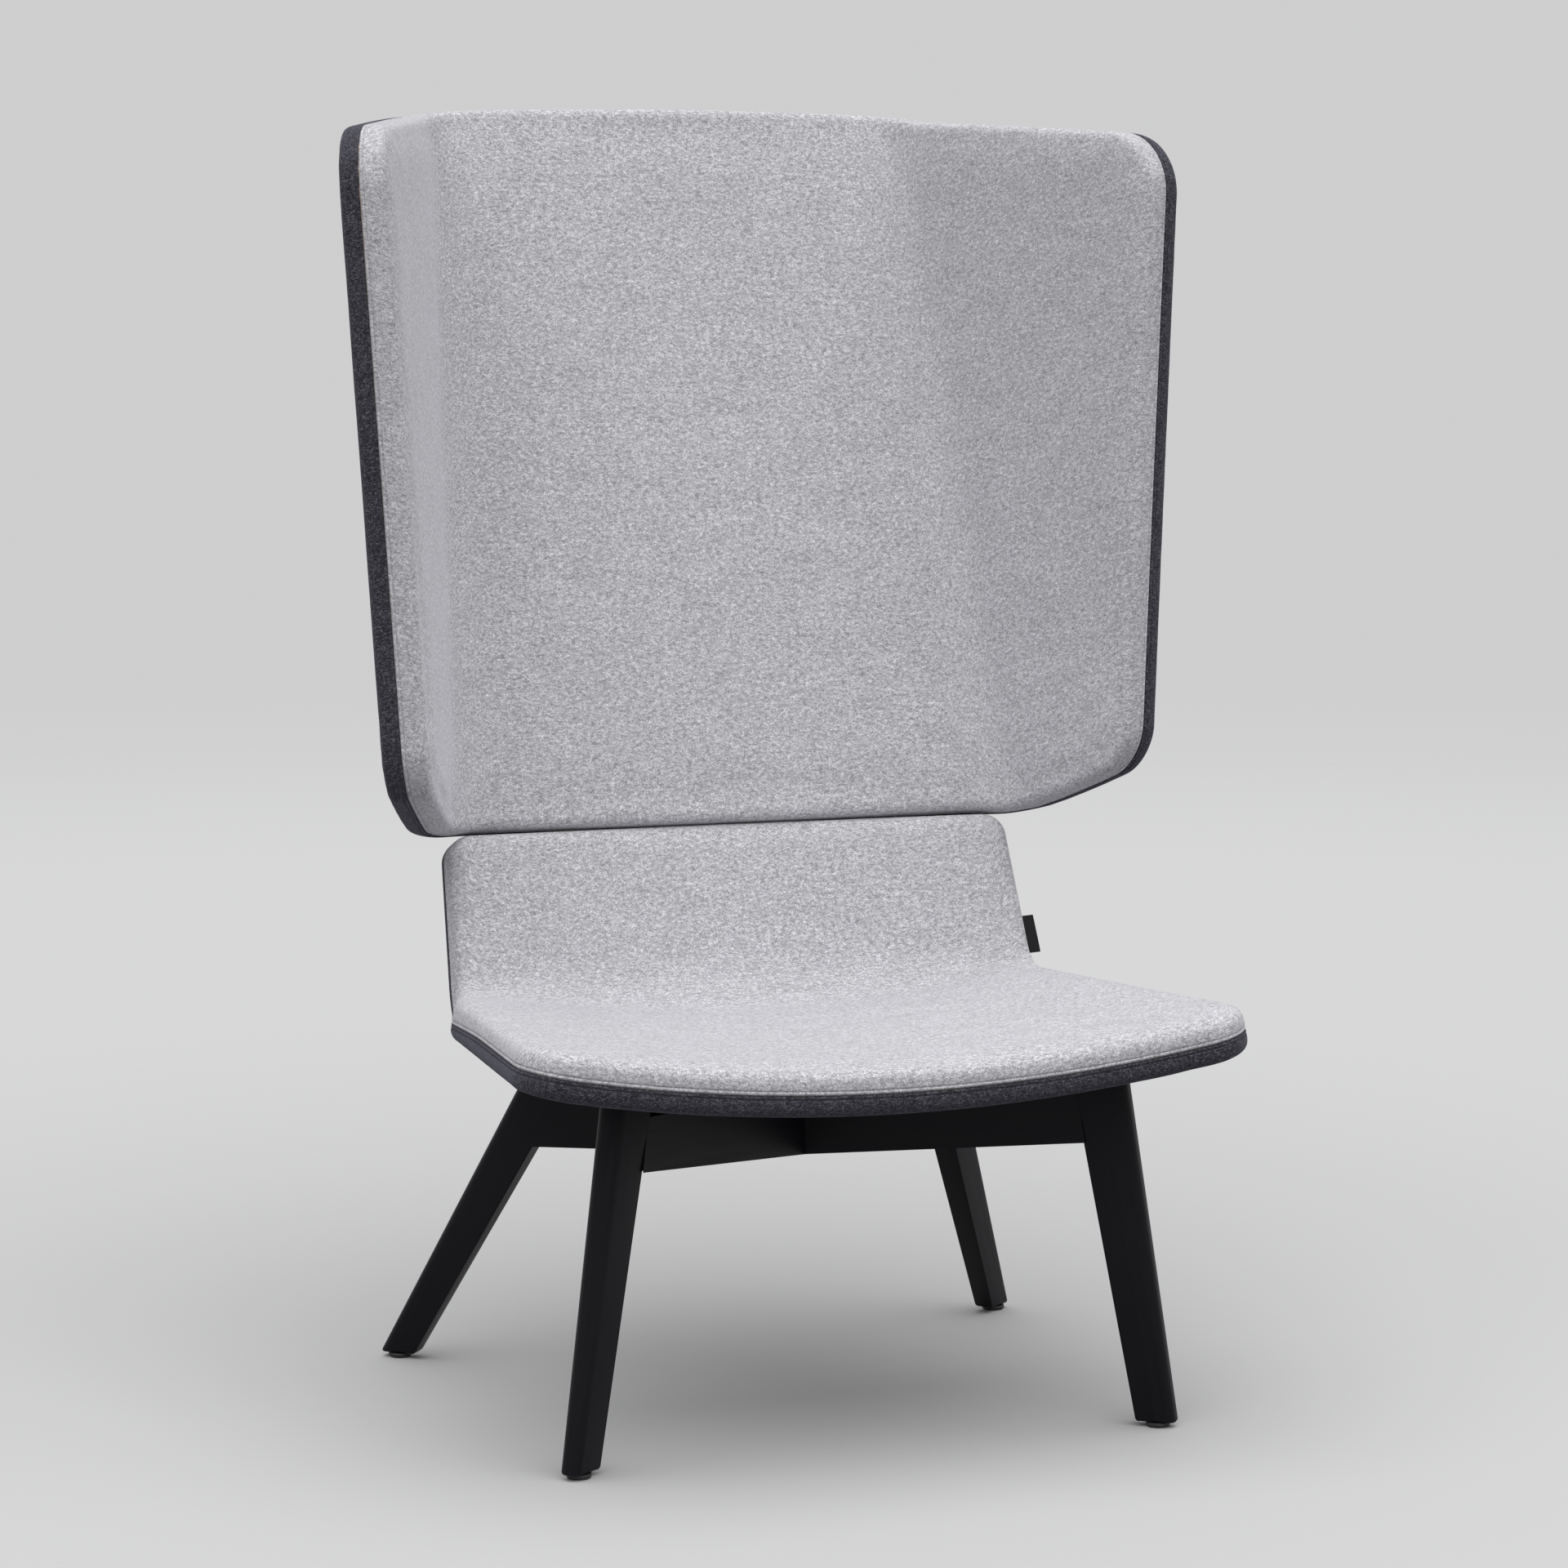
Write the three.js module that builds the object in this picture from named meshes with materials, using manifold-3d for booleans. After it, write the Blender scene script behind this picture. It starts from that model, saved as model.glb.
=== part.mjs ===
// Acoustic high back lounge chair: a padded seat and lower back in one bent shell, a tall
// winged shield above it, and four splayed wooden legs on two crossing beams.
// Millimetres, +Z up, the sitter looks towards -Y, X is across the chair.
import * as THREE from "three";
import { mergeVertices } from "three/addons/utils/BufferGeometryUtils.js";
import Module from "manifold-3d";

const wasm = await Module();
wasm.setup();

// Fits shared by all pieces
const gap = 0.3;
const overrun = 5;
const mergeDistance = 1e-4;

// Shield: the surface in which its edge seam lies
const shieldLowerEdge = 559;
const shieldUpperEdge = 1303;
const foldLowerRise = 2;
const wingLowerRise = 72;
const foldUpperDrop = 5;
const wingUpperDrop = 28;
const foldHalfWidthLower = 316;
const foldHalfWidthUpper = 273;
const foldBackLower = 213;
const foldBackUpper = 448;
const wingHalfWidthLower = 394;
const wingHalfWidthUpper = 430;
const wingBackLower = 26;
const wingBackUpper = 52;
const foldRadiusLower = 80;
const foldRadiusUpper = 92;
const shieldCornerLower = 45;
const shieldCornerUpper = 62;
const foldStartShare = 0.42;
const foldEndShare = 0.62;
const wingRiseCurve = 1.25;
const shieldDepthFront = 27;
const shieldDepthRear = 21;
const shieldRoll = 15;

// Seat and lower back: the surface in which their edge seam lies
const seatFrontHeight = 365;
const seatRearHeight = 359;
const seatEdgeFrontHeight = 406;
const seatEdgeRearHeight = 387;
const seatFrontReach = 320;
const seatEdgeFrontReach = 330;
const creaseBack = 135;
const creaseEdgeBack = 131;
const lowerBackTop = 557;
const lowerBackTopBack = 214;
const lowerBackEdgeBack = 205;
const creaseRadius = 110;
const creaseEdgeRadius = 48;
const seatHalfWidthFront = 375;
const seatHalfWidthCrease = 317;
const lowerBackHalfWidth = 306;
const seatCorner = 58;
const lowerBackCorner = 25;
const creaseStartShare = 0.5;
const creaseEndShare = 0.72;
const seamDropStartShare = 0.28;
const seamDropEndShare = 0.6;
const seatDepthFront = 23;
const seatDepthRear = 21.5;
const seatRoll = 13;
const seamInset = 1.5;

// Layers of both padded shells
const coverThickness = 2;
const plyThickness = 9;

// Base
const glideRadius = 12;
const glideHeight = 5;
const glideRimHeight = 2;
const glideRimWidth = 1.5;
const glidePinRadius = 2;
const glidePinLength = 16;
const frontFoot = new THREE.Vector2(299, -244);
const frontLegHead = new THREE.Vector2(248, -221);
const rearFoot = new THREE.Vector2(336, 288);
const rearLegHead = new THREE.Vector2(214, 148);
const legHeadWidth = 30;
const legHeadDepth = 54;
const legFootWidth = 22;
const legFootDepth = 40;
const legRounding = 12;
const frameDropFront = 28;
const frameDropRear = 51;
const frameTopFront = seatFrontHeight - frameDropFront;
const frameTopRear = seatRearHeight - frameDropRear;
const beamThickness = 28;
const beamDepthFront = 49;
const beamDepthMiddle = 67.5;
const beamDepthRear = 63;
const beamUnderFront = frameTopFront - beamDepthFront;
const beamUnderMiddle = (frameTopFront + frameTopRear) / 2 - beamDepthMiddle;
const beamUnderRear = frameTopRear - beamDepthRear;
const dowelRadius = 5;
const dowelInLeg = 20;
const dowelInBeam = 28;
const dowelHeightShares = [0.28, 0.72];
const lapScrewRadius = 2.5;
const lapScrewHeadRadius = 5;
const lapScrewHeadHeight = 3;
const lapScrewSink = 4;
const lapScrewLength = 50;

// Board between the frame and the seat, wrapped in fabric
const boardFront = 204;
const boardRear = 112;
const boardHalfWidthFront = 248;
const boardHalfWidthRear = 262;
const boardCorner = 62;
const boardChamferRun = 26;
const boardChamferRise = 15;
const wrapThickness = 1.5;

// Fasteners between frame and shell
const boltRadius = 4;
const boltHeadRadius = 7;
const boltHeadHeight = 4;
const boltSink = 14;
const boltReach = 150;
const teeRadius = 5.5;
const teeFlangeRadius = 11;
const teeFlangeHeight = 1.6;
const teeLength = 7;

// Steel plates that carry the shield on the lower back
const plateOffset = 125;
const plateWidth = 44;
const plateThickness = 3;
const plateClearance = 1;
const plateLower = 78;
const plateUpper = 92;
const plateAimShare = 0.5;
const screwRadius = 2;
const screwHeadRadius = 4.5;
const screwHeadHeight = 2.4;
const screwLength = 10;
const screwShares = [0.3, 0.8];

// Blank side tag
const tagWidth = 18;
const tagHeight = 41;
const tagThickness = 1.4;
const tagShare = 0.76;

// Facets
const roundSides = 12;
const smallSides = 8;
const rollSteps = 3;
const curveSteps = 4;
const cornerSteps = 2;
const creaseSteps = 4;
const foldSteps = 4;
const seatFlatShares = [0, 0.3, 0.6, 0.78];
const seatFrontShares = [0.26];
const lowerBackShares = [0.85];
const shieldAlongShares = [0.33, 0.67];

const material = (color, roughness, metalness = 0) =>
  new THREE.MeshStandardMaterial({ color, roughness, metalness });
const lightFabric = material(0xb9babd, 0.95);
const darkFabric = material(0x48494d, 0.95);
const foamMaterial = material(0xe4d9b8, 0.9);
const plyMaterial = material(0xc49a6c, 0.7);
const blackWood = material(0x1d1c20, 0.4);
const dowelWood = material(0xd2ab7c, 0.7);
const steel = material(0x9a9c9f, 0.35, 1);
const blackPlastic = material(0x151515, 0.5);
const tagMaterial = material(0x0c0c0d, 0.6);

const chair = new THREE.Group();

// Solids and booleans

function toSolid(geometry) {
  const plain = geometry.clone();
  plain.deleteAttribute("normal");
  plain.deleteAttribute("uv");
  const merged = mergeVertices(plain, mergeDistance);
  const vertProperties = new Float32Array(merged.attributes.position.array);
  const triVerts = new Uint32Array(merged.index.array);
  return new wasm.Manifold(new wasm.Mesh({ numProp: 3, vertProperties, triVerts }));
}

function toGeometry(solid) {
  const mesh = solid.getMesh();
  const geometry = new THREE.BufferGeometry();
  geometry.setAttribute("position", new THREE.BufferAttribute(mesh.vertProperties, 3));
  geometry.setIndex(new THREE.BufferAttribute(mesh.triVerts, 1));
  return geometry;
}

function addPiece(name, solid, look) {
  const mesh = new THREE.Mesh(toGeometry(solid), look);
  mesh.name = name;
  chair.add(mesh);
}

function cutAll(solid, cutters) {
  return cutters.reduce((left, cutter) => left.subtract(cutter), solid);
}

// A round bar from one point to another
function bar(from, to, radius, sides = roundSides) {
  const along = new THREE.Vector3().subVectors(to, from);
  const geometry = new THREE.CylinderGeometry(radius, radius, along.length(), sides);
  geometry.applyQuaternion(
    new THREE.Quaternion().setFromUnitVectors(
      new THREE.Vector3(0, 1, 0),
      along.clone().normalize(),
    ),
  );
  const middle = new THREE.Vector3().addVectors(from, to).multiplyScalar(0.5);
  geometry.translate(middle.x, middle.y, middle.z);
  return toSolid(geometry);
}

// Everything on the side of a plane that its normal points to
const reach = 2 * shieldUpperEdge;
function beyond(point, normal) {
  const geometry = new THREE.BoxGeometry(reach, reach, reach);
  geometry.translate(0, 0, reach / 2);
  geometry.applyQuaternion(
    new THREE.Quaternion().setFromUnitVectors(
      new THREE.Vector3(0, 0, 1),
      normal.clone().normalize(),
    ),
  );
  geometry.translate(point.x, point.y, point.z);
  return toSolid(geometry);
}

// Padded shells

const mix = THREE.MathUtils.lerp;

function evenly(from, to, steps) {
  return Array.from({ length: steps + 1 }, (_, k) => mix(from, to, k / steps));
}

// The line from the middle to the fold, round it and on to the wing's edge, seen from above
function foldedLine(share, foldX, foldY, edgeX, edgeY, radius) {
  const fold = new THREE.Vector2(foldX, foldY);
  const edge = new THREE.Vector2(edgeX, edgeY);
  const wing = edge.clone().sub(fold).normalize();
  const turn = Math.acos(wing.x);
  const setback = radius * Math.tan(turn / 2);
  const start = new THREE.Vector2(foldX - setback, foldY);
  if (share <= foldStartShare) {
    return new THREE.Vector2((start.x * share) / foldStartShare, foldY);
  }
  if (share < foldEndShare) {
    const angle = (turn * (share - foldStartShare)) / (foldEndShare - foldStartShare);
    const x = start.x + radius * Math.sin(angle);
    return new THREE.Vector2(x, foldY - radius * (1 - Math.cos(angle)));
  }
  const end = fold.clone().addScaledVector(wing, setback);
  return end.lerp(edge, (share - foldEndShare) / (1 - foldEndShare));
}

// How far a height has changed from the middle to the fold and on to the wing's edge
function stepped(share, atFold, atEdge) {
  const foldMiddleShare = (foldStartShare + foldEndShare) / 2;
  if (share < foldMiddleShare) return atFold * (share / foldMiddleShare) ** 2;
  const along = (share - foldMiddleShare) / (1 - foldMiddleShare);
  return mix(atFold, atEdge, along ** wingRiseCurve);
}

function shieldPoint(across, up) {
  const share = Math.abs(across);
  const low = foldedLine(
    share,
    foldHalfWidthLower,
    foldBackLower,
    wingHalfWidthLower,
    wingBackLower,
    foldRadiusLower,
  );
  const high = foldedLine(
    share,
    foldHalfWidthUpper,
    foldBackUpper,
    wingHalfWidthUpper,
    wingBackUpper,
    foldRadiusUpper,
  );
  const lowHeight = shieldLowerEdge + stepped(share, foldLowerRise, wingLowerRise);
  const highHeight = shieldUpperEdge - stepped(share, foldUpperDrop, wingUpperDrop);
  const plan = low.lerp(high, up);
  return new THREE.Vector3(Math.sign(across) * plan.x, plan.y, mix(lowHeight, highHeight, up));
}

// The side line of the seat and lower back: straight, round the crease, straight
function creasedLine(share, front, crease, top, radius) {
  const seat = crease.clone().sub(front).normalize();
  const back = top.clone().sub(crease).normalize();
  const turn = Math.acos(seat.dot(back));
  const setback = radius * Math.tan(turn / 2);
  const start = crease.clone().addScaledVector(seat, -setback);
  if (share <= creaseStartShare) return front.clone().lerp(start, share / creaseStartShare);
  if (share < creaseEndShare) {
    const angle = (turn * (share - creaseStartShare)) / (creaseEndShare - creaseStartShare);
    const inward = new THREE.Vector2(-seat.y, seat.x);
    return start
      .addScaledVector(seat, radius * Math.sin(angle))
      .addScaledVector(inward, radius * (1 - Math.cos(angle)));
  }
  const end = crease.clone().addScaledVector(back, setback);
  return end.lerp(top, (share - creaseEndShare) / (1 - creaseEndShare));
}

function seatPoint(across, along) {
  const middle = creasedLine(
    along,
    new THREE.Vector2(-seatFrontReach, seatFrontHeight),
    new THREE.Vector2(creaseBack, seatRearHeight),
    new THREE.Vector2(lowerBackTopBack, lowerBackTop),
    creaseRadius,
  );
  const edge = creasedLine(
    along,
    new THREE.Vector2(-seatEdgeFrontReach, seatEdgeFrontHeight),
    new THREE.Vector2(creaseEdgeBack, seatEdgeRearHeight),
    new THREE.Vector2(lowerBackEdgeBack, lowerBackTop),
    creaseEdgeRadius,
  );
  const line = middle.lerp(edge, across ** 2);
  const creaseShare = (creaseStartShare + creaseEndShare) / 2;
  const halfWidth =
    along < creaseShare
      ? mix(seatHalfWidthFront, seatHalfWidthCrease, along / creaseShare)
      : mix(seatHalfWidthCrease, lowerBackHalfWidth, (along - creaseShare) / (1 - creaseShare));
  return new THREE.Vector3(across * halfWidth, line.x, line.y);
}

// A share that is small enough to measure a direction with
const nearShare = 1e-3;

function slopes(point, across, along) {
  const left = Math.max(across - nearShare, -1);
  const right = Math.min(across + nearShare, 1);
  const low = Math.max(along - nearShare, 0);
  const high = Math.min(along + nearShare, 1);
  const over = point(right, along).sub(point(left, along)).divideScalar(right - left);
  const up = point(across, high).sub(point(across, low)).divideScalar(high - low);
  return { over, up, normal: new THREE.Vector3().crossVectors(over, up).normalize() };
}

// One padded shell: its surface, roll and corners, with the net that all its layers share.
// Columns past the last inner share and rows at both ends make the rounded corners.
function makeShell({ point, roll, lowCorner, highCorner, acrossShares, alongShares }) {
  const span = (across, along, way) => slopes(point, across, along)[way].length();
  const cornerShares = evenly(0, 1, cornerSteps);
  const half = [
    ...acrossShares.map((share) => ({ share, past: 0 })),
    ...cornerShares.map((past) => ({ past, share: 1 })),
  ];
  const mirrored = half.slice(1).reverse();
  const columns = [
    ...mirrored.map((column) => ({ ...column, side: -1 })),
    ...half.map((column) => ({ ...column, side: 1 })),
  ];
  const rows = [
    ...cornerShares.map((past) => ({ low: 1 - past })),
    ...alongShares.map((share) => ({ share })),
    ...cornerShares.map((past) => ({ high: past })),
  ];
  const place = (column, row) => {
    const end = row.low ?? row.high ?? 0;
    const corner = row.high === undefined ? lowCorner : highCorner;
    const endAlong = row.high === undefined ? 0 : 1;
    const along = row.share ?? endAlong;
    const across = column.share;
    const edge = 1 - roll / span(1, along, "over");
    const blend = row.share ?? endAlong;
    const reachAcross = (mix(lowCorner, highCorner, blend) - roll) / span(1, along, "over");
    const start = edge - reachAcross;
    let share = column.side * across;
    if (across === 1) {
      const round = column.past * Math.sqrt(1 - end ** 2 / 2);
      share = column.side * mix(start, edge, round);
    }
    if (row.share !== undefined) return [share, row.share];
    const unit = span(Math.abs(share), endAlong, "up");
    const roundEnd = end * Math.sqrt(1 - column.past ** 2 / 2);
    const inset = (roll + (corner - roll) * (1 - roundEnd)) / unit;
    return [share, endAlong === 0 ? inset : 1 - inset];
  };
  const frames = rows.map((row) =>
    columns.map((column) => {
      const [across, along] = place(column, row);
      return { at: point(across, along), along, normal: slopes(point, across, along).normal };
    }),
  );
  return { frames, loop: outwardLoop(frames), roll };
}

// The net's border in order, each place with its way outwards within the surface
function outwardLoop(frames) {
  const lastRow = frames.length - 1;
  const lastColumn = frames[0].length - 1;
  const cells = [];
  for (let c = 0; c < lastColumn; c++) cells.push([0, c]);
  for (let r = 0; r < lastRow; r++) cells.push([r, lastColumn]);
  for (let c = lastColumn; c > 0; c--) cells.push([lastRow, c]);
  for (let r = lastRow; r > 0; r--) cells.push([r, 0]);
  return cells.map(([row, column], k) => {
    const here = frames[row][column];
    const [beforeRow, beforeColumn] = cells[(k + cells.length - 1) % cells.length];
    const [afterRow, afterColumn] = cells[(k + 1) % cells.length];
    const arrive = here.at.clone().sub(frames[beforeRow][beforeColumn].at).normalize();
    const leave = frames[afterRow][afterColumn].at.clone().sub(here.at).normalize();
    const outArrive = arrive.cross(here.normal).normalize();
    const outLeave = leave.cross(here.normal).normalize();
    const stretch = 2 / (1 + outArrive.dot(outLeave));
    const out = outArrive.add(outLeave).multiplyScalar(stretch / 2);
    return { row, column, frame: here, out };
  });
}

// A closed layer: the net lifted to two heights, joined by a profile round the border.
// Each profile step gives how far out it lies and its height at a place along the shell.
function layer(shell, firstHeight, lastHeight, profile) {
  const { frames, loop } = shell;
  const positions = [];
  const index = [];
  const width = frames[0].length;
  const push = (vector) => {
    positions.push(vector.x, vector.y, vector.z);
    return positions.length / 3 - 1;
  };
  const lift = (frame, height) => frame.at.clone().addScaledVector(frame.normal, height);
  const cap = (height) =>
    frames.map((line) => line.map((frame) => push(lift(frame, height))));
  const first = cap(firstHeight);
  const last = cap(lastHeight);
  for (let r = 0; r + 1 < frames.length; r++) {
    for (let c = 0; c + 1 < width; c++) {
      const a = [first[r][c], first[r][c + 1], first[r + 1][c + 1], first[r + 1][c]];
      const b = [last[r][c], last[r][c + 1], last[r + 1][c + 1], last[r + 1][c]];
      index.push(a[0], a[1], a[2], a[0], a[2], a[3]);
      index.push(b[0], b[2], b[1], b[0], b[3], b[2]);
    }
  }
  const capRing = (cells, height) => ({
    ring: loop.map(({ row, column }) => cells[row][column]),
    out: 0,
    level: height,
  });
  const profileRing = ({ out, height }) => ({
    ring: loop.map(({ frame, out: outward }) =>
      push(lift(frame, height(frame.along)).addScaledVector(outward, out)),
    ),
    out,
    level: height(0),
  });
  const rings = [
    capRing(first, firstHeight),
    ...profile.map(profileRing),
    capRing(last, lastHeight),
  ];
  // Each quad is split the same way in every layer, so that neighbours never cross
  rings.slice(1).forEach((after, k) => {
    const before = rings[k];
    const outwards =
      before.out < after.out || (before.out === after.out && before.level > after.level);
    loop.forEach((_, c) => {
      const next = (c + 1) % loop.length;
      const quad = [before.ring[c], after.ring[c], after.ring[next], before.ring[next]];
      const order = outwards ? [0, 1, 2, 0, 2, 3] : [0, 1, 3, 3, 1, 2];
      index.push(...order.map((corner) => quad[corner]));
    });
  });
  const geometry = new THREE.BufferGeometry();
  geometry.setAttribute("position", new THREE.Float32BufferAttribute(positions, 3));
  geometry.setIndex(index);
  return toSolid(geometry);
}

const level = (height) => () => height;

// Front and rear covers, front and rear foam and the plywood of one padded shell
function makeLayers(shell, depthFront, depthRear, seamHeight) {
  const { roll } = shell;
  const foamReach = roll - coverThickness - gap;
  const plyHalf = plyThickness / 2;
  const cover = (side, depth) => {
    const outer = side * depth;
    const inner = side * (depth - coverThickness);
    const rim = (along) => seamHeight(along) + (side * gap) / 2;
    const steps = [];
    for (let k = 1; k <= rollSteps; k++) {
      const angle = (k * Math.PI) / 2 / rollSteps;
      const drop = roll * (1 - Math.cos(angle));
      steps.push({ out: roll * Math.sin(angle), height: level(side * (depth - drop)) });
    }
    steps.push({ out: roll, height: rim });
    steps.push({ out: roll - coverThickness, height: rim });
    const innerTop = level(side * (depth - roll));
    steps.push({ out: roll - coverThickness, height: innerTop });
    return side > 0
      ? layer(shell, outer, inner, steps)
      : layer(shell, inner, outer, steps.reverse());
  };
  const foam = (side, depth) => {
    const outer = side * (depth - coverThickness - gap);
    const inner = side * (plyHalf + gap);
    const steps = [
      { out: foamReach, height: level(side * (depth - roll)) },
      { out: foamReach, height: level(inner) },
    ];
    return side > 0
      ? layer(shell, outer, inner, steps)
      : layer(shell, inner, outer, steps.reverse());
  };
  const ply = layer(shell, plyHalf, -plyHalf, [
    { out: foamReach, height: level(plyHalf) },
    { out: foamReach, height: level(-plyHalf) },
  ]);
  return {
    frontCover: cover(1, depthFront),
    frontFoam: foam(1, depthFront),
    ply,
    rearFoam: foam(-1, depthRear),
    rearCover: cover(-1, depthRear),
  };
}

const seatSeamDrop = seatDepthRear - seatRoll - seamInset;
const seatAlongShares = [
  ...seatFrontShares,
  ...evenly(creaseStartShare, creaseEndShare, creaseSteps),
  ...lowerBackShares,
];
const seatShell = makeShell({
  point: seatPoint,
  roll: seatRoll,
  lowCorner: seatCorner,
  highCorner: lowerBackCorner,
  acrossShares: seatFlatShares,
  alongShares: seatAlongShares,
});
const seatSeam = (along) =>
  -seatSeamDrop * THREE.MathUtils.smoothstep(along, seamDropStartShare, seamDropEndShare);
const seat = makeLayers(seatShell, seatDepthFront, seatDepthRear, seatSeam);

const shieldAcrossShares = [0, ...evenly(foldStartShare, foldEndShare, foldSteps)];
const shieldShell = makeShell({
  point: shieldPoint,
  roll: shieldRoll,
  lowCorner: shieldCornerLower,
  highCorner: shieldCornerUpper,
  acrossShares: shieldAcrossShares,
  alongShares: shieldAlongShares,
});
const shield = makeLayers(shieldShell, shieldDepthFront, shieldDepthRear, level(0));

// Base frame

const up = new THREE.Vector3(0, 0, 1);
const frameSlope = (frameTopRear - frameTopFront) / (rearLegHead.y - frontLegHead.y);
const frameTopAt = (y) => frameTopFront + frameSlope * (y - frontLegHead.y);
const frameNormal = new THREE.Vector3(0, -frameSlope, 1).normalize();
const aboveFrame = beyond(new THREE.Vector3(0, 0, frameTopAt(0)), frameNormal);
const crossing = new THREE.Vector2(
  0,
  mix(frontLegHead.y, rearLegHead.y, frontLegHead.x / (frontLegHead.x + rearLegHead.x)),
);

const frontLeg = {
  head: frontLegHead,
  foot: frontFoot,
  under: beamUnderFront,
  reachesSeat: true,
};
const rearLeg = {
  head: rearLegHead,
  foot: rearFoot,
  under: beamUnderRear,
  reachesSeat: false,
};
const corners = [
  { name: "front_left", side: 1, ...frontLeg },
  { name: "front_right", side: -1, ...frontLeg },
  { name: "rear_left", side: 1, ...rearLeg },
  { name: "rear_right", side: -1, ...rearLeg },
].map((corner) => {
  const head = new THREE.Vector2(corner.side * corner.head.x, corner.head.y);
  const foot = new THREE.Vector2(corner.side * corner.foot.x, corner.foot.y);
  const outward = head.clone().sub(crossing).normalize();
  const sideways = new THREE.Vector2(-outward.y, outward.x);
  return { ...corner, head, foot, outward, sideways };
});

// A leg's outline: square towards the frame, rounded away from it
function legOutline(depth, width, rounding) {
  const shape = new THREE.Shape();
  const x = depth / 2;
  const y = width / 2;
  shape.moveTo(-x, -y);
  shape.lineTo(x - rounding, -y);
  shape.quadraticCurveTo(x, -y, x, rounding - y);
  shape.lineTo(x, y - rounding);
  shape.quadraticCurveTo(x, y, x - rounding, y);
  shape.lineTo(-x, y);
  return shape.extractPoints(curveSteps).shape;
}

// A solid whose section runs straight from a foot outline to a head outline
function tapered(footRing, headRing) {
  const count = footRing.length;
  const positions = [...footRing, ...headRing].flatMap((place) => place.toArray());
  const index = [];
  for (let k = 0; k < count; k++) {
    const next = (k + 1) % count;
    index.push(k, next, count + next, k, count + next, count + k);
    if (k > 1) index.push(0, k, k - 1, count, count + k - 1, count + k);
  }
  const geometry = new THREE.BufferGeometry();
  geometry.setAttribute("position", new THREE.Float32BufferAttribute(positions, 3));
  geometry.setIndex(index);
  return toSolid(geometry);
}

function legRing(corner, centre, height, depth, width) {
  return legOutline(depth, width, (legRounding * width) / legHeadWidth).map((place) => {
    const spot = centre
      .clone()
      .addScaledVector(corner.outward, place.x)
      .addScaledVector(corner.sideways, place.y);
    return new THREE.Vector3(spot.x, spot.y, height);
  });
}

// The room of the seat and of the sitter above it, which nothing of the base reaches into
const seatBody = layer(seatShell, seatDepthFront, -seatDepthRear - gap, [
  { out: seatRoll, height: level(seatDepthFront) },
  { out: seatRoll, height: level(-seatDepthRear - gap) },
]);
const raisedBy = (times) => [0, 0, times * (seatDepthFront + seatDepthRear)];
const seatRoom = seatBody.add(seatBody.translate(raisedBy(1))).add(seatBody.translate(raisedBy(2)));

// The leg runs on past the frame's top. A front leg is cut off under the seat, a rear one flush.
function makeLeg(corner) {
  const headHeight = frameTopAt(corner.head.y);
  const rise = headHeight - glideHeight - gap;
  const past = (rise + legHeadDepth) / rise;
  const far = corner.foot.clone().lerp(corner.head, past);
  const footRing = legRing(corner, corner.foot, glideHeight + gap, legFootDepth, legFootWidth);
  const headRing = legRing(
    corner,
    far,
    glideHeight + gap + rise * past,
    mix(legFootDepth, legHeadDepth, past),
    mix(legFootWidth, legHeadWidth, past),
  );
  const inner = headRing[0].clone().sub(footRing[0]);
  const across = new THREE.Vector3(corner.sideways.x, corner.sideways.y, 0);
  const facing = new THREE.Vector3().crossVectors(inner, across).normalize();
  const outward = new THREE.Vector3(corner.outward.x, corner.outward.y, 0);
  if (facing.dot(outward) < 0) facing.negate();
  const cutter = corner.reachesSeat ? seatRoom : aboveFrame;
  return { solid: tapered(footRing, headRing).subtract(cutter), face: footRing[0], facing };
}

corners.forEach((corner) => Object.assign(corner, makeLeg(corner)));

// Dowels across the joint between a leg and its beam, each with its hole
function makeDowels(corner) {
  const top = frameTopAt(corner.head.y);
  const outward = new THREE.Vector3(corner.outward.x, corner.outward.y, 0);
  return dowelHeightShares.map((share, k) => {
    const height = mix(corner.under, top, share);
    const start = new THREE.Vector3(crossing.x, crossing.y, height);
    const toFace = corner.face.clone().sub(start).dot(corner.facing);
    const seat = start.addScaledVector(outward, toFace / corner.facing.dot(outward));
    const inner = seat.clone().addScaledVector(outward, -dowelInBeam);
    const outer = seat.clone().addScaledVector(outward, dowelInLeg);
    const holeInner = inner.clone().addScaledVector(outward, -gap);
    const holeOuter = outer.clone().addScaledVector(outward, gap);
    return {
      name: `dowel_${corner.name}_${k === 0 ? "lower" : "upper"}`,
      solid: bar(inner, outer, dowelRadius, smallSides),
      hole: bar(holeInner, holeOuter, dowelRadius + gap, smallSides),
    };
  });
}

corners.forEach((corner) => {
  corner.dowels = makeDowels(corner);
});
const [frontLeft, frontRight, rearLeft, rearRight] = corners;

// Half lap: where the beams cross, each keeps one half of its height
const lapHeight = (beamUnderMiddle + frameTopAt(crossing.y)) / 2;
const lapPoint = new THREE.Vector3(crossing.x, crossing.y, lapHeight);

function lapNotch(crossed, way) {
  const side = new THREE.Vector3(crossed.sideways.x, crossed.sideways.y, 0);
  const halfLap = beamThickness / 2 + gap;
  const start = lapPoint.clone().addScaledVector(way, -gap / 2);
  const flanks = [side, side.clone().negate()].map((flank) =>
    beyond(lapPoint.clone().addScaledVector(flank, halfLap), flank),
  );
  return cutAll(beyond(start, way), flanks);
}

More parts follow.
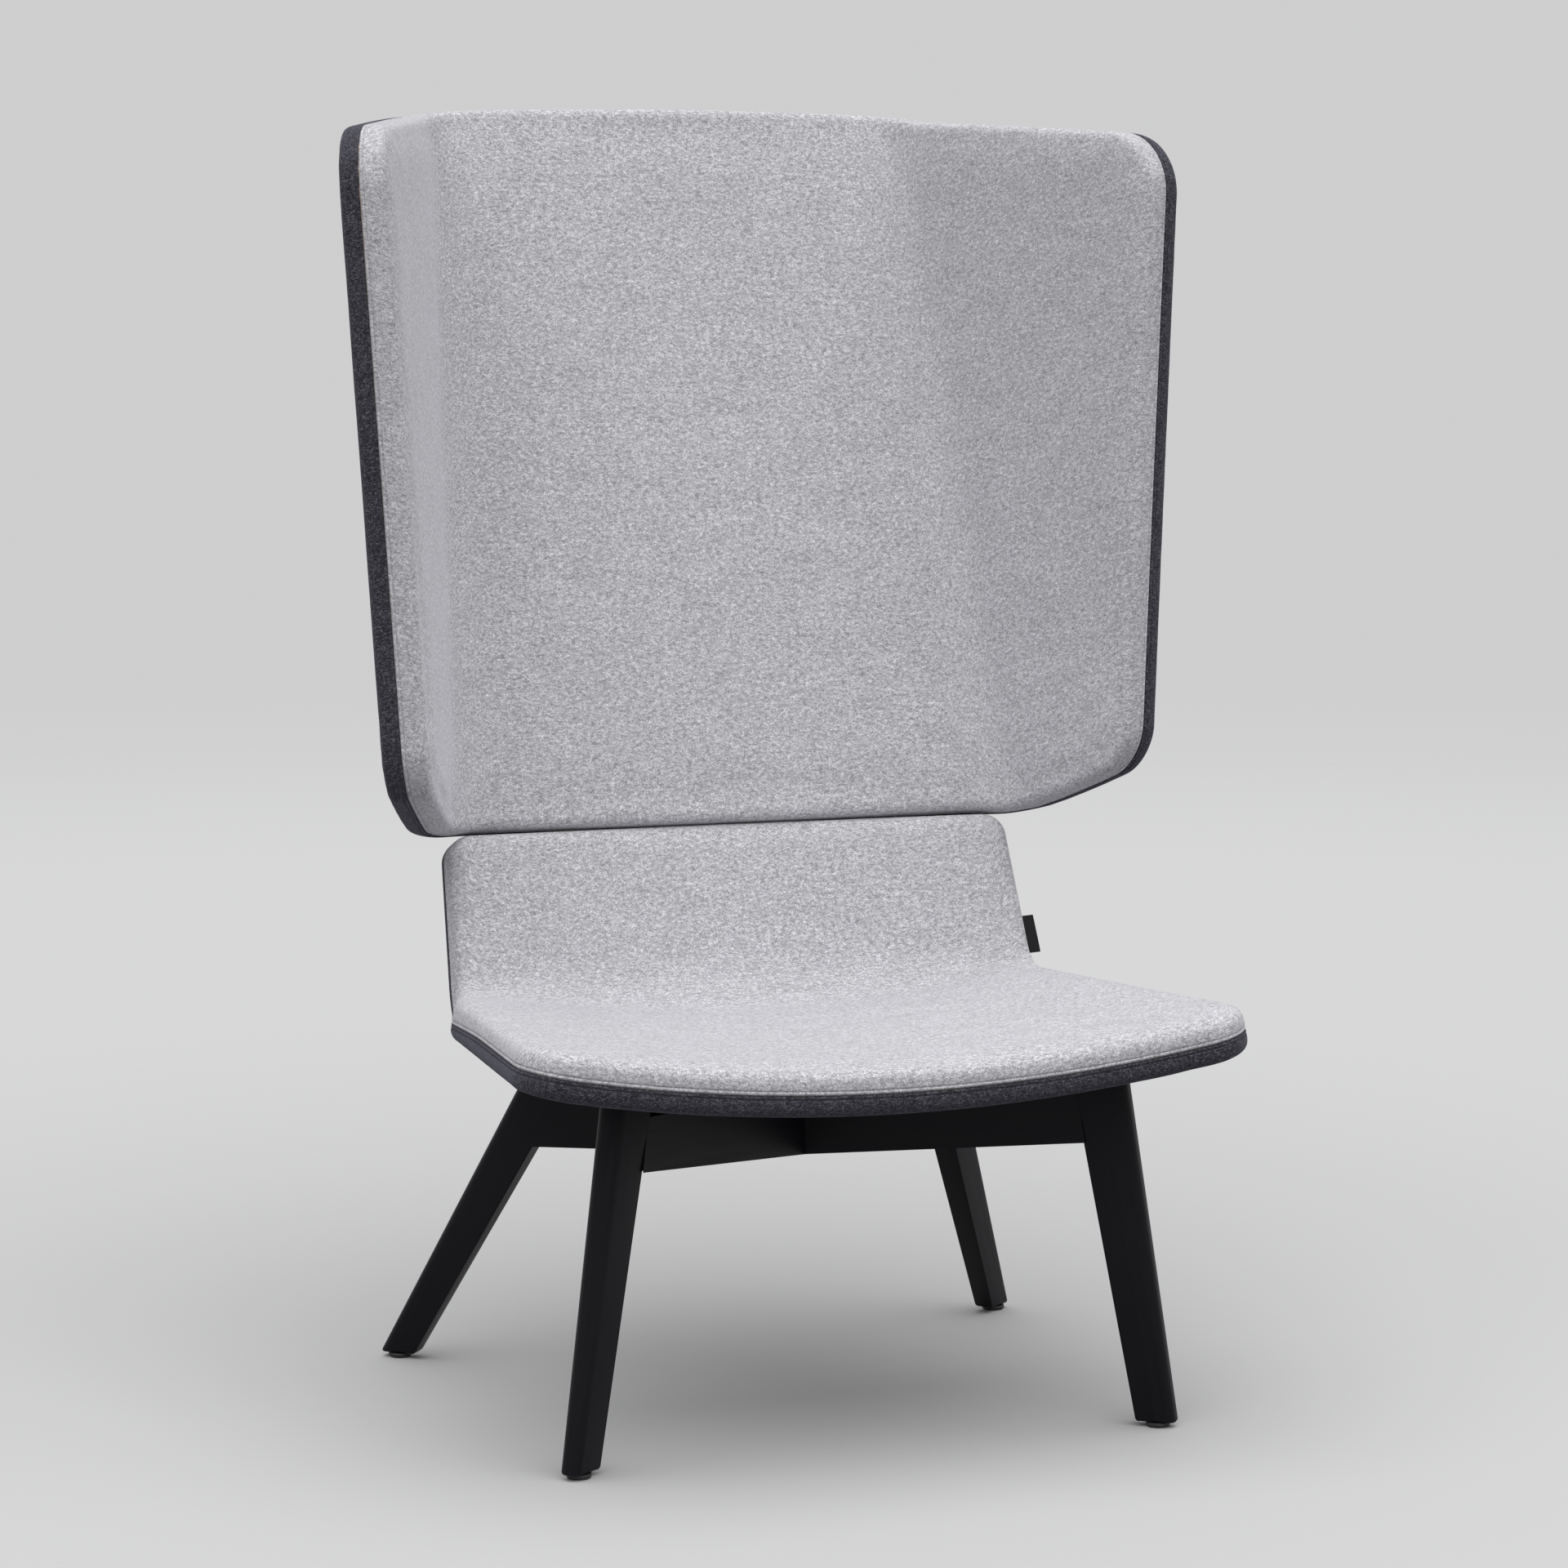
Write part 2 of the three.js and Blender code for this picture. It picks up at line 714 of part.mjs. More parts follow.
// A beam between a front leg and the rear leg across from it, in its own upright plane
function makeBeam(front, rear, notch) {
  const frontRun = crossing.distanceTo(front.head);
  const rearRun = crossing.distanceTo(rear.head);
  const shape = new THREE.Shape();
  shape.moveTo(-frontRun, beamUnderFront);
  shape.lineTo(0, beamUnderMiddle);
  shape.lineTo(rearRun, beamUnderRear);
  shape.lineTo(rearRun, frameTopAt(rear.head.y) + overrun);
  shape.lineTo(-frontRun, frameTopAt(front.head.y) + overrun);
  const geometry = new THREE.ExtrudeGeometry(shape, {
    depth: beamThickness,
    bevelEnabled: false,
  });
  geometry.translate(0, 0, -beamThickness / 2);
  const way = new THREE.Vector3(rear.outward.x, rear.outward.y, 0);
  geometry.applyMatrix4(
    new THREE.Matrix4().makeBasis(way, up, new THREE.Vector3(way.y, -way.x, 0)),
  );
  geometry.translate(crossing.x, crossing.y, 0);
  const ends = [front, rear].map((corner) =>
    beyond(corner.face.clone().addScaledVector(corner.facing, -gap), corner.facing),
  );
  const holes = [front, rear].flatMap((corner) => corner.dowels.map((dowel) => dowel.hole));
  return cutAll(toSolid(geometry), [aboveFrame, ...ends, ...holes, notch]);
}

// A turned piece: its half outline as pairs of radius and height, from axis to axis
function turned(outline, sides) {
  const points = outline.map(([radius, height]) => new THREE.Vector2(radius, height));
  const geometry = new THREE.LatheGeometry(points, sides);
  geometry.rotateX(Math.PI / 2);
  return toSolid(geometry);
}

function makeGlide() {
  const rim = glideRadius - glideRimWidth;
  return turned(
    [
      [0, 0],
      [rim, 0],
      [glideRadius, glideRimHeight],
      [glideRadius, glideHeight],
      [glidePinRadius, glideHeight],
      [glidePinRadius, glideHeight + glidePinLength],
      [0, glideHeight + glidePinLength],
    ],
    roundSides,
  );
}

// The place on the seat's seam surface above a point of the plan
function seatAbove(x, y) {
  let front = 0;
  let rear = 1;
  const halvings = 30;
  const acrossAt = (along) => x / seatPoint(1, along).x;
  for (let k = 0; k < halvings; k++) {
    const along = (front + rear) / 2;
    if (seatPoint(acrossAt(along), along).y < y) front = along;
    else rear = along;
  }
  return seatPoint(acrossAt(front), front);
}

// Bolts through the beams and the board into tee nuts in the plywood of the seat
function makeBolt(corner) {
  const spot = crossing.clone().addScaledVector(corner.outward, boltReach);
  const at = (height) => new THREE.Vector3(spot.x, spot.y, height);
  const share = boltReach / crossing.distanceTo(corner.head);
  const under = mix(beamUnderMiddle, corner.under, share);
  const plyTop = seatAbove(spot.x, spot.y).z + plyThickness / 2;
  const flange = plyTop + gap;
  const tip = flange + teeFlangeHeight;
  const seatOfHead = under + boltSink;
  const bolt = bar(at(seatOfHead - boltHeadHeight), at(seatOfHead), boltHeadRadius).add(
    bar(at(seatOfHead - boltHeadHeight / 2), at(tip), boltRadius, smallSides),
  );
  const shaftHole = bar(at(seatOfHead), at(tip), boltRadius + gap, smallSides);
  const counterbore = bar(at(under - overrun), at(seatOfHead + gap), boltHeadRadius + gap);
  const nut = bar(at(flange - teeLength), at(flange), teeRadius, smallSides)
    .add(bar(at(flange), at(tip), teeFlangeRadius))
    .subtract(bar(at(flange - overrun - teeLength), at(tip + overrun), boltRadius + gap, smallSides));
  return {
    name: corner.name,
    bolt,
    nut,
    beamHole: shaftHole.add(counterbore),
    shaftHole,
    barrelHole: bar(at(flange - teeLength - gap), at(tip), teeRadius + gap, smallSides),
    pocket: bar(at(plyTop), at(tip + gap), teeFlangeRadius + gap),
  };
}

// The board's outline, drawn in by an inset, as places in plan
function boardOutline(inset) {
  const corner = boardCorner - inset;
  const front = -boardFront + inset;
  const rear = boardRear - inset;
  const shape = new THREE.Shape();
  const places = [
    [boardHalfWidthFront - inset, front],
    [boardHalfWidthRear - inset, rear],
    [-boardHalfWidthRear + inset, rear],
    [-boardHalfWidthFront + inset, front],
  ].map(([x, y]) => new THREE.Vector2(x, y));
  places.forEach((place, k) => {
    const before = places[(k + places.length - 1) % places.length];
    const after = places[(k + 1) % places.length];
    const arrive = place.clone().lerp(before, corner / place.distanceTo(before));
    const leave = place.clone().lerp(after, corner / place.distanceTo(after));
    if (k === 0) shape.moveTo(arrive.x, arrive.y);
    else shape.lineTo(arrive.x, arrive.y);
    shape.quadraticCurveTo(place.x, place.y, leave.x, leave.y);
  });
  return shape.extractPoints(curveSteps).shape;
}

// The board up into the seat, with chamfered lower edges
function boardBody(inset, lift, rise) {
  const ring = (drawn, height) =>
    boardOutline(drawn).map(({ x, y }) => new THREE.Vector3(x, y, height(x, y)));
  const low = ring(inset + boardChamferRun, (x, y) => frameTopAt(y) + lift);
  const middle = ring(inset, (x, y) => frameTopAt(y) + lift + boardChamferRise);
  const high = ring(inset, (x, y) => seatAbove(x, y).z + rise);
  return tapered(low, middle).add(tapered(middle, high));
}


// Shield plates: bent strips behind the plywood of the lower back and of the shield.
// The two lines that a strip follows, seen from the side as places of Y and Z.
function plateLines(x) {
  const flat = ({ y, z }) => new THREE.Vector2(y, z);
  const across = x / lowerBackHalfWidth;
  const shieldAcross = (foldStartShare * x) / foldHalfWidthLower;
  const crease = flat(seatPoint(across, creaseEndShare));
  const back = flat(seatPoint(across, 1));
  const low = flat(shieldPoint(shieldAcross, 0));
  const high = flat(shieldPoint(shieldAcross, plateAimShare));
  return [
    { end: back, way: crease.sub(back).normalize(), length: plateLower, rear: -1 },
    { end: low, way: high.sub(low).normalize(), length: plateUpper, rear: 1 },
  ].map((line) => {
    const rear = new THREE.Vector2(line.way.y, -line.way.x).multiplyScalar(line.rear);
    return { ...line, rear };
  });
}

// Where the two lines meet once both are moved back by a depth
function plateBend([lower, upper], depth) {
  const a = lower.end.clone().addScaledVector(lower.rear, depth);
  const b = upper.end.clone().addScaledVector(upper.rear, depth);
  const run = b.clone().sub(a).cross(upper.way) / lower.way.cross(upper.way);
  return a.addScaledVector(lower.way, run);
}

function plateStrip(x, margin) {
  const lines = plateLines(x);
  const near = plyThickness / 2 + plateClearance - margin;
  const far = near + plateThickness + 2 * margin;
  const tips = (depth) =>
    lines.map(({ end, way, length, rear }) =>
      end.clone().addScaledVector(rear, depth).addScaledVector(way, length + margin),
    );
  const [nearLow, nearHigh] = tips(near);
  const [farLow, farHigh] = tips(far);
  const bends = [plateBend(lines, near), plateBend(lines, far)];
  const shape = new THREE.Shape([nearLow, bends[0], nearHigh, farHigh, bends[1], farLow]);
  const depth = plateWidth + 2 * margin;
  const geometry = new THREE.ExtrudeGeometry(shape, { depth, bevelEnabled: false });
  geometry.translate(0, 0, -depth / 2);
  const across = new THREE.Vector3(1, 0, 0);
  geometry.applyMatrix4(
    new THREE.Matrix4().makeBasis(new THREE.Vector3(0, 1, 0), up, across),
  );
  geometry.translate(x, 0, 0);
  return toSolid(geometry);
}

function makeScrews(x, sideName) {
  const behind = plyThickness / 2 + plateClearance + plateThickness + gap;
  return plateLines(x).flatMap((line, k) =>
    screwShares.map((share, row) => {
      const at = (depth) => {
        const spot = line.end
          .clone()
          .addScaledVector(line.way, line.length * share)
          .addScaledVector(line.rear, depth);
        return new THREE.Vector3(x, spot.x, spot.y);
      };
      const tip = behind - screwLength;
      const top = behind + screwHeadHeight;
      const shaft = bar(at(behind + screwHeadHeight / 2), at(tip), screwRadius, smallSides);
      const head = bar(at(behind), at(top), screwHeadRadius, smallSides);
      const place = `${k === 0 ? "lower" : "upper"}_${row === 0 ? "inner" : "outer"}`;
      return {
        name: `plate_screw_${sideName}_${place}`,
        lower: k === 0,
        solid: head.add(shaft),
        shaftHole: bar(at(top), at(tip - gap), screwRadius + gap, smallSides),
        pocket: bar(at(0), at(top + gap), screwHeadRadius + gap, smallSides),
      };
    }),
  );
}

function makeTag() {
  const at = seatPoint(1, tagShare);
  const { up: along, normal } = slopes(seatPoint, 1, tagShare);
  const outward = new THREE.Vector3().crossVectors(along, normal).normalize();
  const geometry = new THREE.BoxGeometry(tagWidth, tagHeight, tagThickness);
  geometry.applyMatrix4(new THREE.Matrix4().makeBasis(outward, along.normalize(), normal));
  at.addScaledVector(outward, 2 * gap + tagWidth / 2).addScaledVector(normal, -seatSeamDrop);
  geometry.translate(at.x, at.y, at.z);
  return toSolid(geometry);
}

// Pieces of the base
const bolts = corners.map((corner) => makeBolt(corner));
const boltOf = (corner) => bolts[corners.indexOf(corner)];

const lapScrewAt = (height) => new THREE.Vector3(crossing.x, crossing.y, height);
const lapScrewTop = beamUnderMiddle + lapScrewSink;
const lapScrewTip = lapScrewTop + lapScrewLength;
const lapScrew = bar(
  lapScrewAt(lapScrewTop - lapScrewHeadHeight),
  lapScrewAt(lapScrewTop),
  lapScrewHeadRadius,
).add(
  bar(
    lapScrewAt(lapScrewTop - lapScrewHeadHeight / 2),
    lapScrewAt(lapScrewTip),
    lapScrewRadius,
    smallSides,
  ),
);
const lapScrewHole = bar(
  lapScrewAt(lapScrewTop - overrun),
  lapScrewAt(lapScrewTip + gap),
  lapScrewRadius + gap,
  smallSides,
).add(
  bar(
    lapScrewAt(beamUnderMiddle - overrun),
    lapScrewAt(lapScrewTop + gap),
    lapScrewHeadRadius + gap,
  ),
);

const beams = [
  { front: frontLeft, rear: rearRight, notch: lapNotch(frontRight, up) },
  { front: frontRight, rear: rearLeft, notch: lapNotch(frontLeft, up.clone().negate()) },
];
beams.forEach(({ front, rear, notch }) => {
  const holes = [boltOf(front).beamHole, boltOf(rear).beamHole, lapScrewHole];
  const solid = cutAll(makeBeam(front, rear, notch), holes);
  addPiece(`cross_beam_${front.name}`, solid, blackWood);
});

corners.forEach((corner) => {
  const pinHole = bar(
    new THREE.Vector3(corner.foot.x, corner.foot.y, 0),
    new THREE.Vector3(corner.foot.x, corner.foot.y, glideHeight + glidePinLength + gap),
    glidePinRadius + gap,
    smallSides,
  );
  const holes = corner.dowels.map((dowel) => dowel.hole);
  addPiece(`leg_${corner.name}`, cutAll(corner.solid, [...holes, pinHole]), blackWood);
  const glide = makeGlide().translate([corner.foot.x, corner.foot.y, 0]);
  addPiece(`glide_${corner.name}`, glide, blackPlastic);
  corner.dowels.forEach((dowel) => addPiece(dowel.name, dowel.solid, dowelWood));
});
addPiece("lap_screw", lapScrew, steel);

bolts.forEach(({ name, bolt, nut }) => {
  addPiece(`seat_bolt_${name}`, bolt, steel);
  addPiece(`tee_nut_${name}`, nut, steel);
});

// Board and its fabric wrap
const shaftHoles = bolts.map((bolt) => bolt.shaftHole);
const board = boardBody(wrapThickness + gap, wrapThickness + 2 * gap, 0);
addPiece("seat_board", cutAll(board, [seatRoom, ...shaftHoles]), plyMaterial);
const wrap = boardBody(0, gap, 0);
const wrapInside = boardBody(wrapThickness, wrapThickness + gap, overrun);
addPiece("seat_board_wrap", cutAll(wrap, [wrapInside, seatRoom, ...shaftHoles]), darkFabric);

// Padded shells, with the holes and pockets of what passes through them
const plateSides = [
  { name: "left", x: plateOffset },
  { name: "right", x: -plateOffset },
];
const slots = plateSides.map(({ x }) => plateStrip(x, gap));
const screws = plateSides.flatMap(({ x, name }) => makeScrews(x, name));
const lowerScrews = screws.filter((screw) => screw.lower);
const upperScrews = screws.filter((screw) => !screw.lower);
const pick = (list, key) => list.map((item) => item[key]);

const teeHoles = [...pick(bolts, "pocket"), ...pick(bolts, "barrelHole")];
const seatCutters = {
  frontCover: slots,
  frontFoam: teeHoles,
  ply: [...shaftHoles, ...teeHoles, ...pick(lowerScrews, "shaftHole")],
  rearFoam: [...shaftHoles, ...slots, ...pick(lowerScrews, "pocket")],
  rearCover: [...shaftHoles, ...slots],
};
const shieldCutters = {
  frontCover: [],
  frontFoam: [],
  ply: pick(upperScrews, "shaftHole"),
  rearFoam: [...slots, ...pick(upperScrews, "pocket")],
  rearCover: slots,
};
const layerNames = {
  frontCover: ["front_cover", lightFabric],
  frontFoam: ["front_foam", foamMaterial],
  ply: ["plywood_shell", plyMaterial],
  rearFoam: ["rear_foam", foamMaterial],
  rearCover: ["rear_cover", darkFabric],
};
[
  ["seat", seat, seatCutters],
  ["shield", shield, shieldCutters],
].forEach(([shellName, layers, cutters]) => {
  Object.entries(layerNames).forEach(([key, [name, look]]) => {
    addPiece(`${shellName}_${name}`, cutAll(layers[key], cutters[key]), look);
  });
});

plateSides.forEach(({ x, name }) => {
  const holes = pick(screws, "shaftHole");
  addPiece(`shield_plate_${name}`, cutAll(plateStrip(x, 0), holes), steel);
});
screws.forEach((screw) => addPiece(screw.name, screw.solid, steel));
addPiece("side_tag", makeTag(), tagMaterial);

// The chair stands on the origin, centred
const box = new THREE.Box3().setFromObject(chair);
const middle = box.getCenter(new THREE.Vector3());
chair.position.set(-middle.x, -middle.y, -box.min.z);

export default chair;
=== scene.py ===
import math

import bpy
import bmesh
import numpy as np
from mathutils import Matrix, Vector, noise
from mathutils.bvhtree import BVHTree


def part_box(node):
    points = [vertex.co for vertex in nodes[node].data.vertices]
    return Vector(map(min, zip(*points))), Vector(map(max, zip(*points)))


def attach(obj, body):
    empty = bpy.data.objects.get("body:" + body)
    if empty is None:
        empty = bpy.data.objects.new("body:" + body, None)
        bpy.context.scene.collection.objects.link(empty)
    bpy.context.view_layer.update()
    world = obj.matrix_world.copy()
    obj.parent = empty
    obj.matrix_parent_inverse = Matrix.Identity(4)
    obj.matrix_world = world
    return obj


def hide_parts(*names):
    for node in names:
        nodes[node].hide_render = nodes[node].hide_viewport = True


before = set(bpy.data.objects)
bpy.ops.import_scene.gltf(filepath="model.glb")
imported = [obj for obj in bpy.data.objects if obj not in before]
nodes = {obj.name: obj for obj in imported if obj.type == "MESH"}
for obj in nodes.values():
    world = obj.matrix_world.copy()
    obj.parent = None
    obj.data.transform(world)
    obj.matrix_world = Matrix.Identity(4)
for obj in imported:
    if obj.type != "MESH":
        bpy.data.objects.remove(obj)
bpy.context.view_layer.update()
scene = bpy.context.scene
mm = 0.001
print("stage: frame loaded,", len(nodes), "nodes")

# The sizes are in mm about the middle of the base. The frame lies further back, by what a foot says.
footPlan = {"front": (299, -244), "rear": (336, 288)}
glideLow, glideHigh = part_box("glide_front_left")
shiftY = (glideLow.y + glideHigh.y) / 2 - footPlan["front"][1] * mm


def inFrame(points):
    placed = np.array(points, float) * mm
    placed[..., 1] += shiftY
    return placed


# Materials

def put(tree, kind, inputs=None, **settings):
    # adds a node; an input is a value, the socket it comes from, or a node for its first output
    node = tree.nodes.new(kind if "Node" in kind else "ShaderNode" + kind)
    for key, value in settings.items():
        setattr(node, key, value)
    for key, value in (inputs or {}).items():
        source = value.outputs[0] if isinstance(value, bpy.types.Node) else value
        if isinstance(source, bpy.types.NodeSocket):
            tree.links.new(source, node.inputs[key])
        else:
            isColour = node.inputs[key].type == "RGBA"
            node.inputs[key].default_value = (*value, 1) if isColour else value
    return node


def ramp(tree, source, stops):
    node = put(tree, "ValToRGB", {"Fac": source})
    marks = node.color_ramp.elements
    while len(marks) < len(stops):
        marks.new(0.5)
    for mark, (place, colour) in zip(marks, stops):
        mark.position = place
        mark.color = (*colour, 1)
    return node


def greys(start, dark, end, pale):
    return [(start, (dark, dark, dark)), (end, (pale, pale, pale))]


def mixColours(tree, share, first, second, blend="MIX"):
    return put(tree, "Mix", {0: share, 6: first, 7: second}, data_type="RGBA",
               blend_type=blend).outputs[2]


def ownPlace(tree):
    return put(tree, "TexCoord").outputs["Object"]


def stretched(tree, place, scale, shift=0.0):
    return put(tree, "Mapping", {"Vector": place, "Location": (shift, shift, shift), "Scale": scale})


def cloudy(tree, place, scale, detail, **more):
    return put(tree, "TexNoise", {"Vector": place, "Scale": scale, "Detail": detail, **more})


def waves(tree, place, scale, distortion, direction):
    return put(tree, "TexWave", {"Vector": place, "Scale": scale, "Distortion": distortion},
               bands_direction=direction).outputs["Fac"]


def spanned(tree, source, ends, more=None):
    return put(tree, "MapRange", {"Value": source, "To Min": ends[0], "To Max": ends[1], **(more or {})})


def bumped(tree, height, strength, depth):
    return put(tree, "Bump", {"Strength": strength, "Distance": depth * mm, "Height": height})


def painted(name, paint, look):
    # a material whose shader gets its inputs from a paint function, and may clear away
    material = bpy.data.materials.new(name)
    material.use_nodes = True
    tree = material.node_tree
    tree.nodes.clear()
    inputs = paint(tree, look)
    clear = inputs.pop("clear", None)
    surface = put(tree, "BsdfPrincipled", inputs)
    if clear:
        surface = put(tree, "MixShader", {0: clear, 1: surface, 2: put(tree, "BsdfTransparent")})
    put(tree, "OutputMaterial", {"Surface": surface})
    return material


def felt(tree, look):
    # wool felt: flecks of dyed wool in a milled ground, a few longer hairs and a dry nap
    cloth = put(tree, "UVMap", uv_map="clothMap")

    def placed(part, shift=0.0):
        wide, high = look[part + "Cell"]
        return stretched(tree, cloth, (1 / (wide * mm), 1 / (high * mm), 1.0), shift)

    def pattern(part, detail, roughness, shift, distortion=0.0):
        return cloudy(tree, placed(part, shift), 1.0, detail, Roughness=roughness, Distortion=distortion)

    cells = put(tree, "TexVoronoi", {"Vector": placed("fleck"), "Scale": 1.0},
                voronoi_dimensions="2D")
    flecks = put(tree, "SeparateColor", {"Color": cells.outputs["Color"]})
    colour = ramp(tree, flecks, look["fleckStops"])
    for tone, stops in ((pattern("tuft", 3.0, 0.68, 3.1, 0.4), look["tuftStops"]),
                        (pattern("cloud", 2.0, 0.5, 9.4), look["cloudStops"])):
        colour = mixColours(tree, 1.0, colour, ramp(tree, tone, stops), "MULTIPLY")
    for part, shift in (("hair", 7.7), ("paleHair", 13.3)):
        hairs = ramp(tree, pattern(part, 1.0, 0.4, shift, 0.9), look[part + "Stops"])
        colour = mixColours(tree, hairs, colour, look[part + "Colour"])
    return {"Base Color": colour, "Roughness": spanned(tree, flecks, look["roughness"]),
            "Normal": bumped(tree, pattern("nap", 3.0, 0.65, 21.0), look["napStrength"], look["napDepth"]),
            "Sheen Weight": look["sheen"], "Sheen Roughness": look["sheenRoughness"],
            "Sheen Tint": look["sheenTint"], "Specular IOR Level": look["specular"]}


feltLook = dict(roughness=(0.88, 1.0), napDepth=0.6, sheenRoughness=0.55, specular=0.15)
lightFelt = dict(
    **feltLook, fleckCell=(1.05, 0.85), tuftCell=(5.6, 3.4), cloudCell=(40, 18), hairCell=(3.6, 1.1),
    paleHairCell=(3.0, 1.1), napCell=(1.6, 1.3), napStrength=0.3,
    fleckStops=[(0.0, (0.29, 0.288, 0.308)), (0.5, (0.458, 0.454, 0.477)), (1.0, (0.64, 0.636, 0.658))],
    tuftStops=greys(0.3, 0.62, 0.7, 1.38), cloudStops=greys(0.3, 0.945, 0.7, 1.05),
    hairStops=greys(0.62, 0.0, 0.7, 0.55), hairColour=(0.2, 0.197, 0.222),
    paleHairStops=greys(0.63, 0.0, 0.71, 0.5), paleHairColour=(0.74, 0.74, 0.755),
    sheen=0.4, sheenTint=(0.95, 0.95, 1.0),
)
darkFelt = dict(
    **feltLook, fleckCell=(1.1, 0.9), tuftCell=(6.5, 4.2), cloudCell=(34, 20), hairCell=(4.0, 1.1),
    paleHairCell=(3.4, 1.1), napCell=(1.6, 1.2), napStrength=0.45,
    fleckStops=[(0.0, (0.014, 0.0138, 0.019)), (0.6, (0.036, 0.035, 0.044)), (1.0, (0.105, 0.103, 0.121))],
    tuftStops=greys(0.3, 0.55, 0.7, 1.5), cloudStops=greys(0.3, 0.92, 0.7, 1.08),
    hairStops=greys(0.62, 0.0, 0.7, 0.6), hairColour=(0.012, 0.012, 0.017),
    paleHairStops=greys(0.62, 0.0, 0.7, 0.7), paleHairColour=(0.17, 0.167, 0.195),
    sheen=0.13, sheenTint=(0.8, 0.8, 1.0),
)


def thread(tree, look):
    # twisted sewing thread
    twist = cloudy(tree, ownPlace(tree), 1400.0, 2.0)
    return {"Base Color": ramp(tree, twist, look["stops"]), "Normal": bumped(tree, twist, 0.4, 0.1),
            "Roughness": 0.7, "Sheen Weight": 0.1}


lightThread = dict(stops=[(0.35, (0.36, 0.355, 0.38)), (0.65, (0.5, 0.495, 0.52))])
darkThread = dict(stops=[(0.35, (0.028, 0.027, 0.035)), (0.65, (0.06, 0.058, 0.072))])


def wood(tree, look):
    # the grain runs along z of the piece's own mark, or of the object
    mark = look["mark"]
    place = put(tree, "Attribute", attribute_name=mark).outputs["Vector"] if mark else ownPlace(tree)
    figure = cloudy(tree, stretched(tree, place, (70.0, 70.0, 3.2)), 1.0, 3.0, Distortion=1.2)
    pores = cloudy(tree, stretched(tree, place, (900.0, 900.0, 22.0)), 1.0, 2.0)
    colour = mixColours(tree, ramp(tree, pores, look["poreStops"]), ramp(tree, figure, look["figureStops"]),
                        look["poreColour"])
    return {"Base Color": colour, "Normal": bumped(tree, pores, look["poreDepth"], 0.15),
            "Roughness": spanned(tree, figure, look["roughness"], {"From Min": 0.3, "From Max": 0.7}),
            "Specular IOR Level": look["specular"]}


stainedWood = dict(
    figureStops=[(0.3, (0.0034, 0.0031, 0.0048)), (0.7, (0.0066, 0.006, 0.0092))],
    poreStops=greys(0.55, 0.0, 0.7, 0.6), poreColour=(0.0024, 0.0024, 0.0028),
    roughness=(0.4, 0.5), poreDepth=0.25, specular=0.14, mark="woodPlace",
)
beechWood = dict(
    figureStops=[(0.3, (0.46, 0.31, 0.19)), (0.7, (0.58, 0.42, 0.27))],
    poreStops=greys(0.6, 0.0, 0.72, 0.6), poreColour=(0.3, 0.18, 0.1),
    roughness=(0.6, 0.7), poreDepth=0.2, specular=0.4, mark=None,
)


def plywood(tree, look):
    # veneers one above the other, with the grain of each turned
    place = ownPlace(tree)
    layers = ramp(tree, waves(tree, place, look["veneers"], 0.6, "Z"), greys(0.4, 0.0, 0.6, 1.0))
    grain = cloudy(tree, place, 90.0, 4.0)
    colour = mixColours(tree, layers, ramp(tree, grain, look["paleStops"]), ramp(tree, grain, look["darkStops"]))
    return {"Base Color": colour, "Roughness": spanned(tree, grain, look["roughness"]),
            "Normal": bumped(tree, grain, 0.2, 0.2)}


plywoodLook = dict(
    veneers=105.0, paleStops=[(0.3, (0.5, 0.35, 0.21)), (0.7, (0.62, 0.46, 0.3))],
    darkStops=[(0.3, (0.36, 0.22, 0.12)), (0.7, (0.45, 0.3, 0.18))], roughness=(0.6, 0.75),
)


def steel(tree, look):
    # zinc-plated steel, a little scratched
    place = ownPlace(tree)
    lines = cloudy(tree, stretched(tree, place, (60.0, 900.0, 900.0)), 1.0, 2.0)
    return {"Base Color": ramp(tree, cloudy(tree, place, 120.0, 3.0), look["stops"]),
            "Roughness": spanned(tree, lines, look["roughness"]), "Normal": bumped(tree, lines, 0.12, 0.05),
            "Metallic": 1.0}


zincLook = dict(stops=[(0.3, (0.5, 0.51, 0.53)), (0.7, (0.66, 0.67, 0.68))], roughness=(0.22, 0.48))


def plastic(tree, look):
    # moulded plastic with a fine spark texture and scuffs
    place = ownPlace(tree)
    scuff = cloudy(tree, place, 160.0, 4.0)
    return {"Base Color": ramp(tree, scuff, look["stops"]), "Roughness": spanned(tree, scuff, look["roughness"]),
            "Normal": bumped(tree, cloudy(tree, place, 1500.0, 2.0), 0.25, 0.05)}


glideLook = dict(stops=[(0.35, (0.009, 0.009, 0.01)), (0.75, (0.022, 0.022, 0.024))], roughness=(0.42, 0.6))


def ribbon(tree, look):
    # woven ribbon: fine ribs one way, finer threads the other
    place = put(tree, "Attribute", attribute_name="ribbonPlace").outputs["Vector"]
    ribs, threads = waves(tree, place, look["ribs"], 0.4, "X"), waves(tree, place, look["threads"], 0.4, "Z")
    height = put(tree, "Math", {0: ribs, 1: threads}, operation="MULTIPLY")
    weave = mixColours(tree, 0.5, ramp(tree, ribs, look["stops"]), ramp(tree, threads, look["stops"]))
    return {"Base Color": weave, "Roughness": spanned(tree, height, look["roughness"]),
            "Normal": bumped(tree, height, 0.5, 0.12), "Specular IOR Level": 0.15}


ribbonLook = dict(ribs=520.0, threads=700.0, roughness=(0.5, 0.75),
                  stops=[(0.2, (0.003, 0.003, 0.004)), (0.8, (0.012, 0.012, 0.014))])

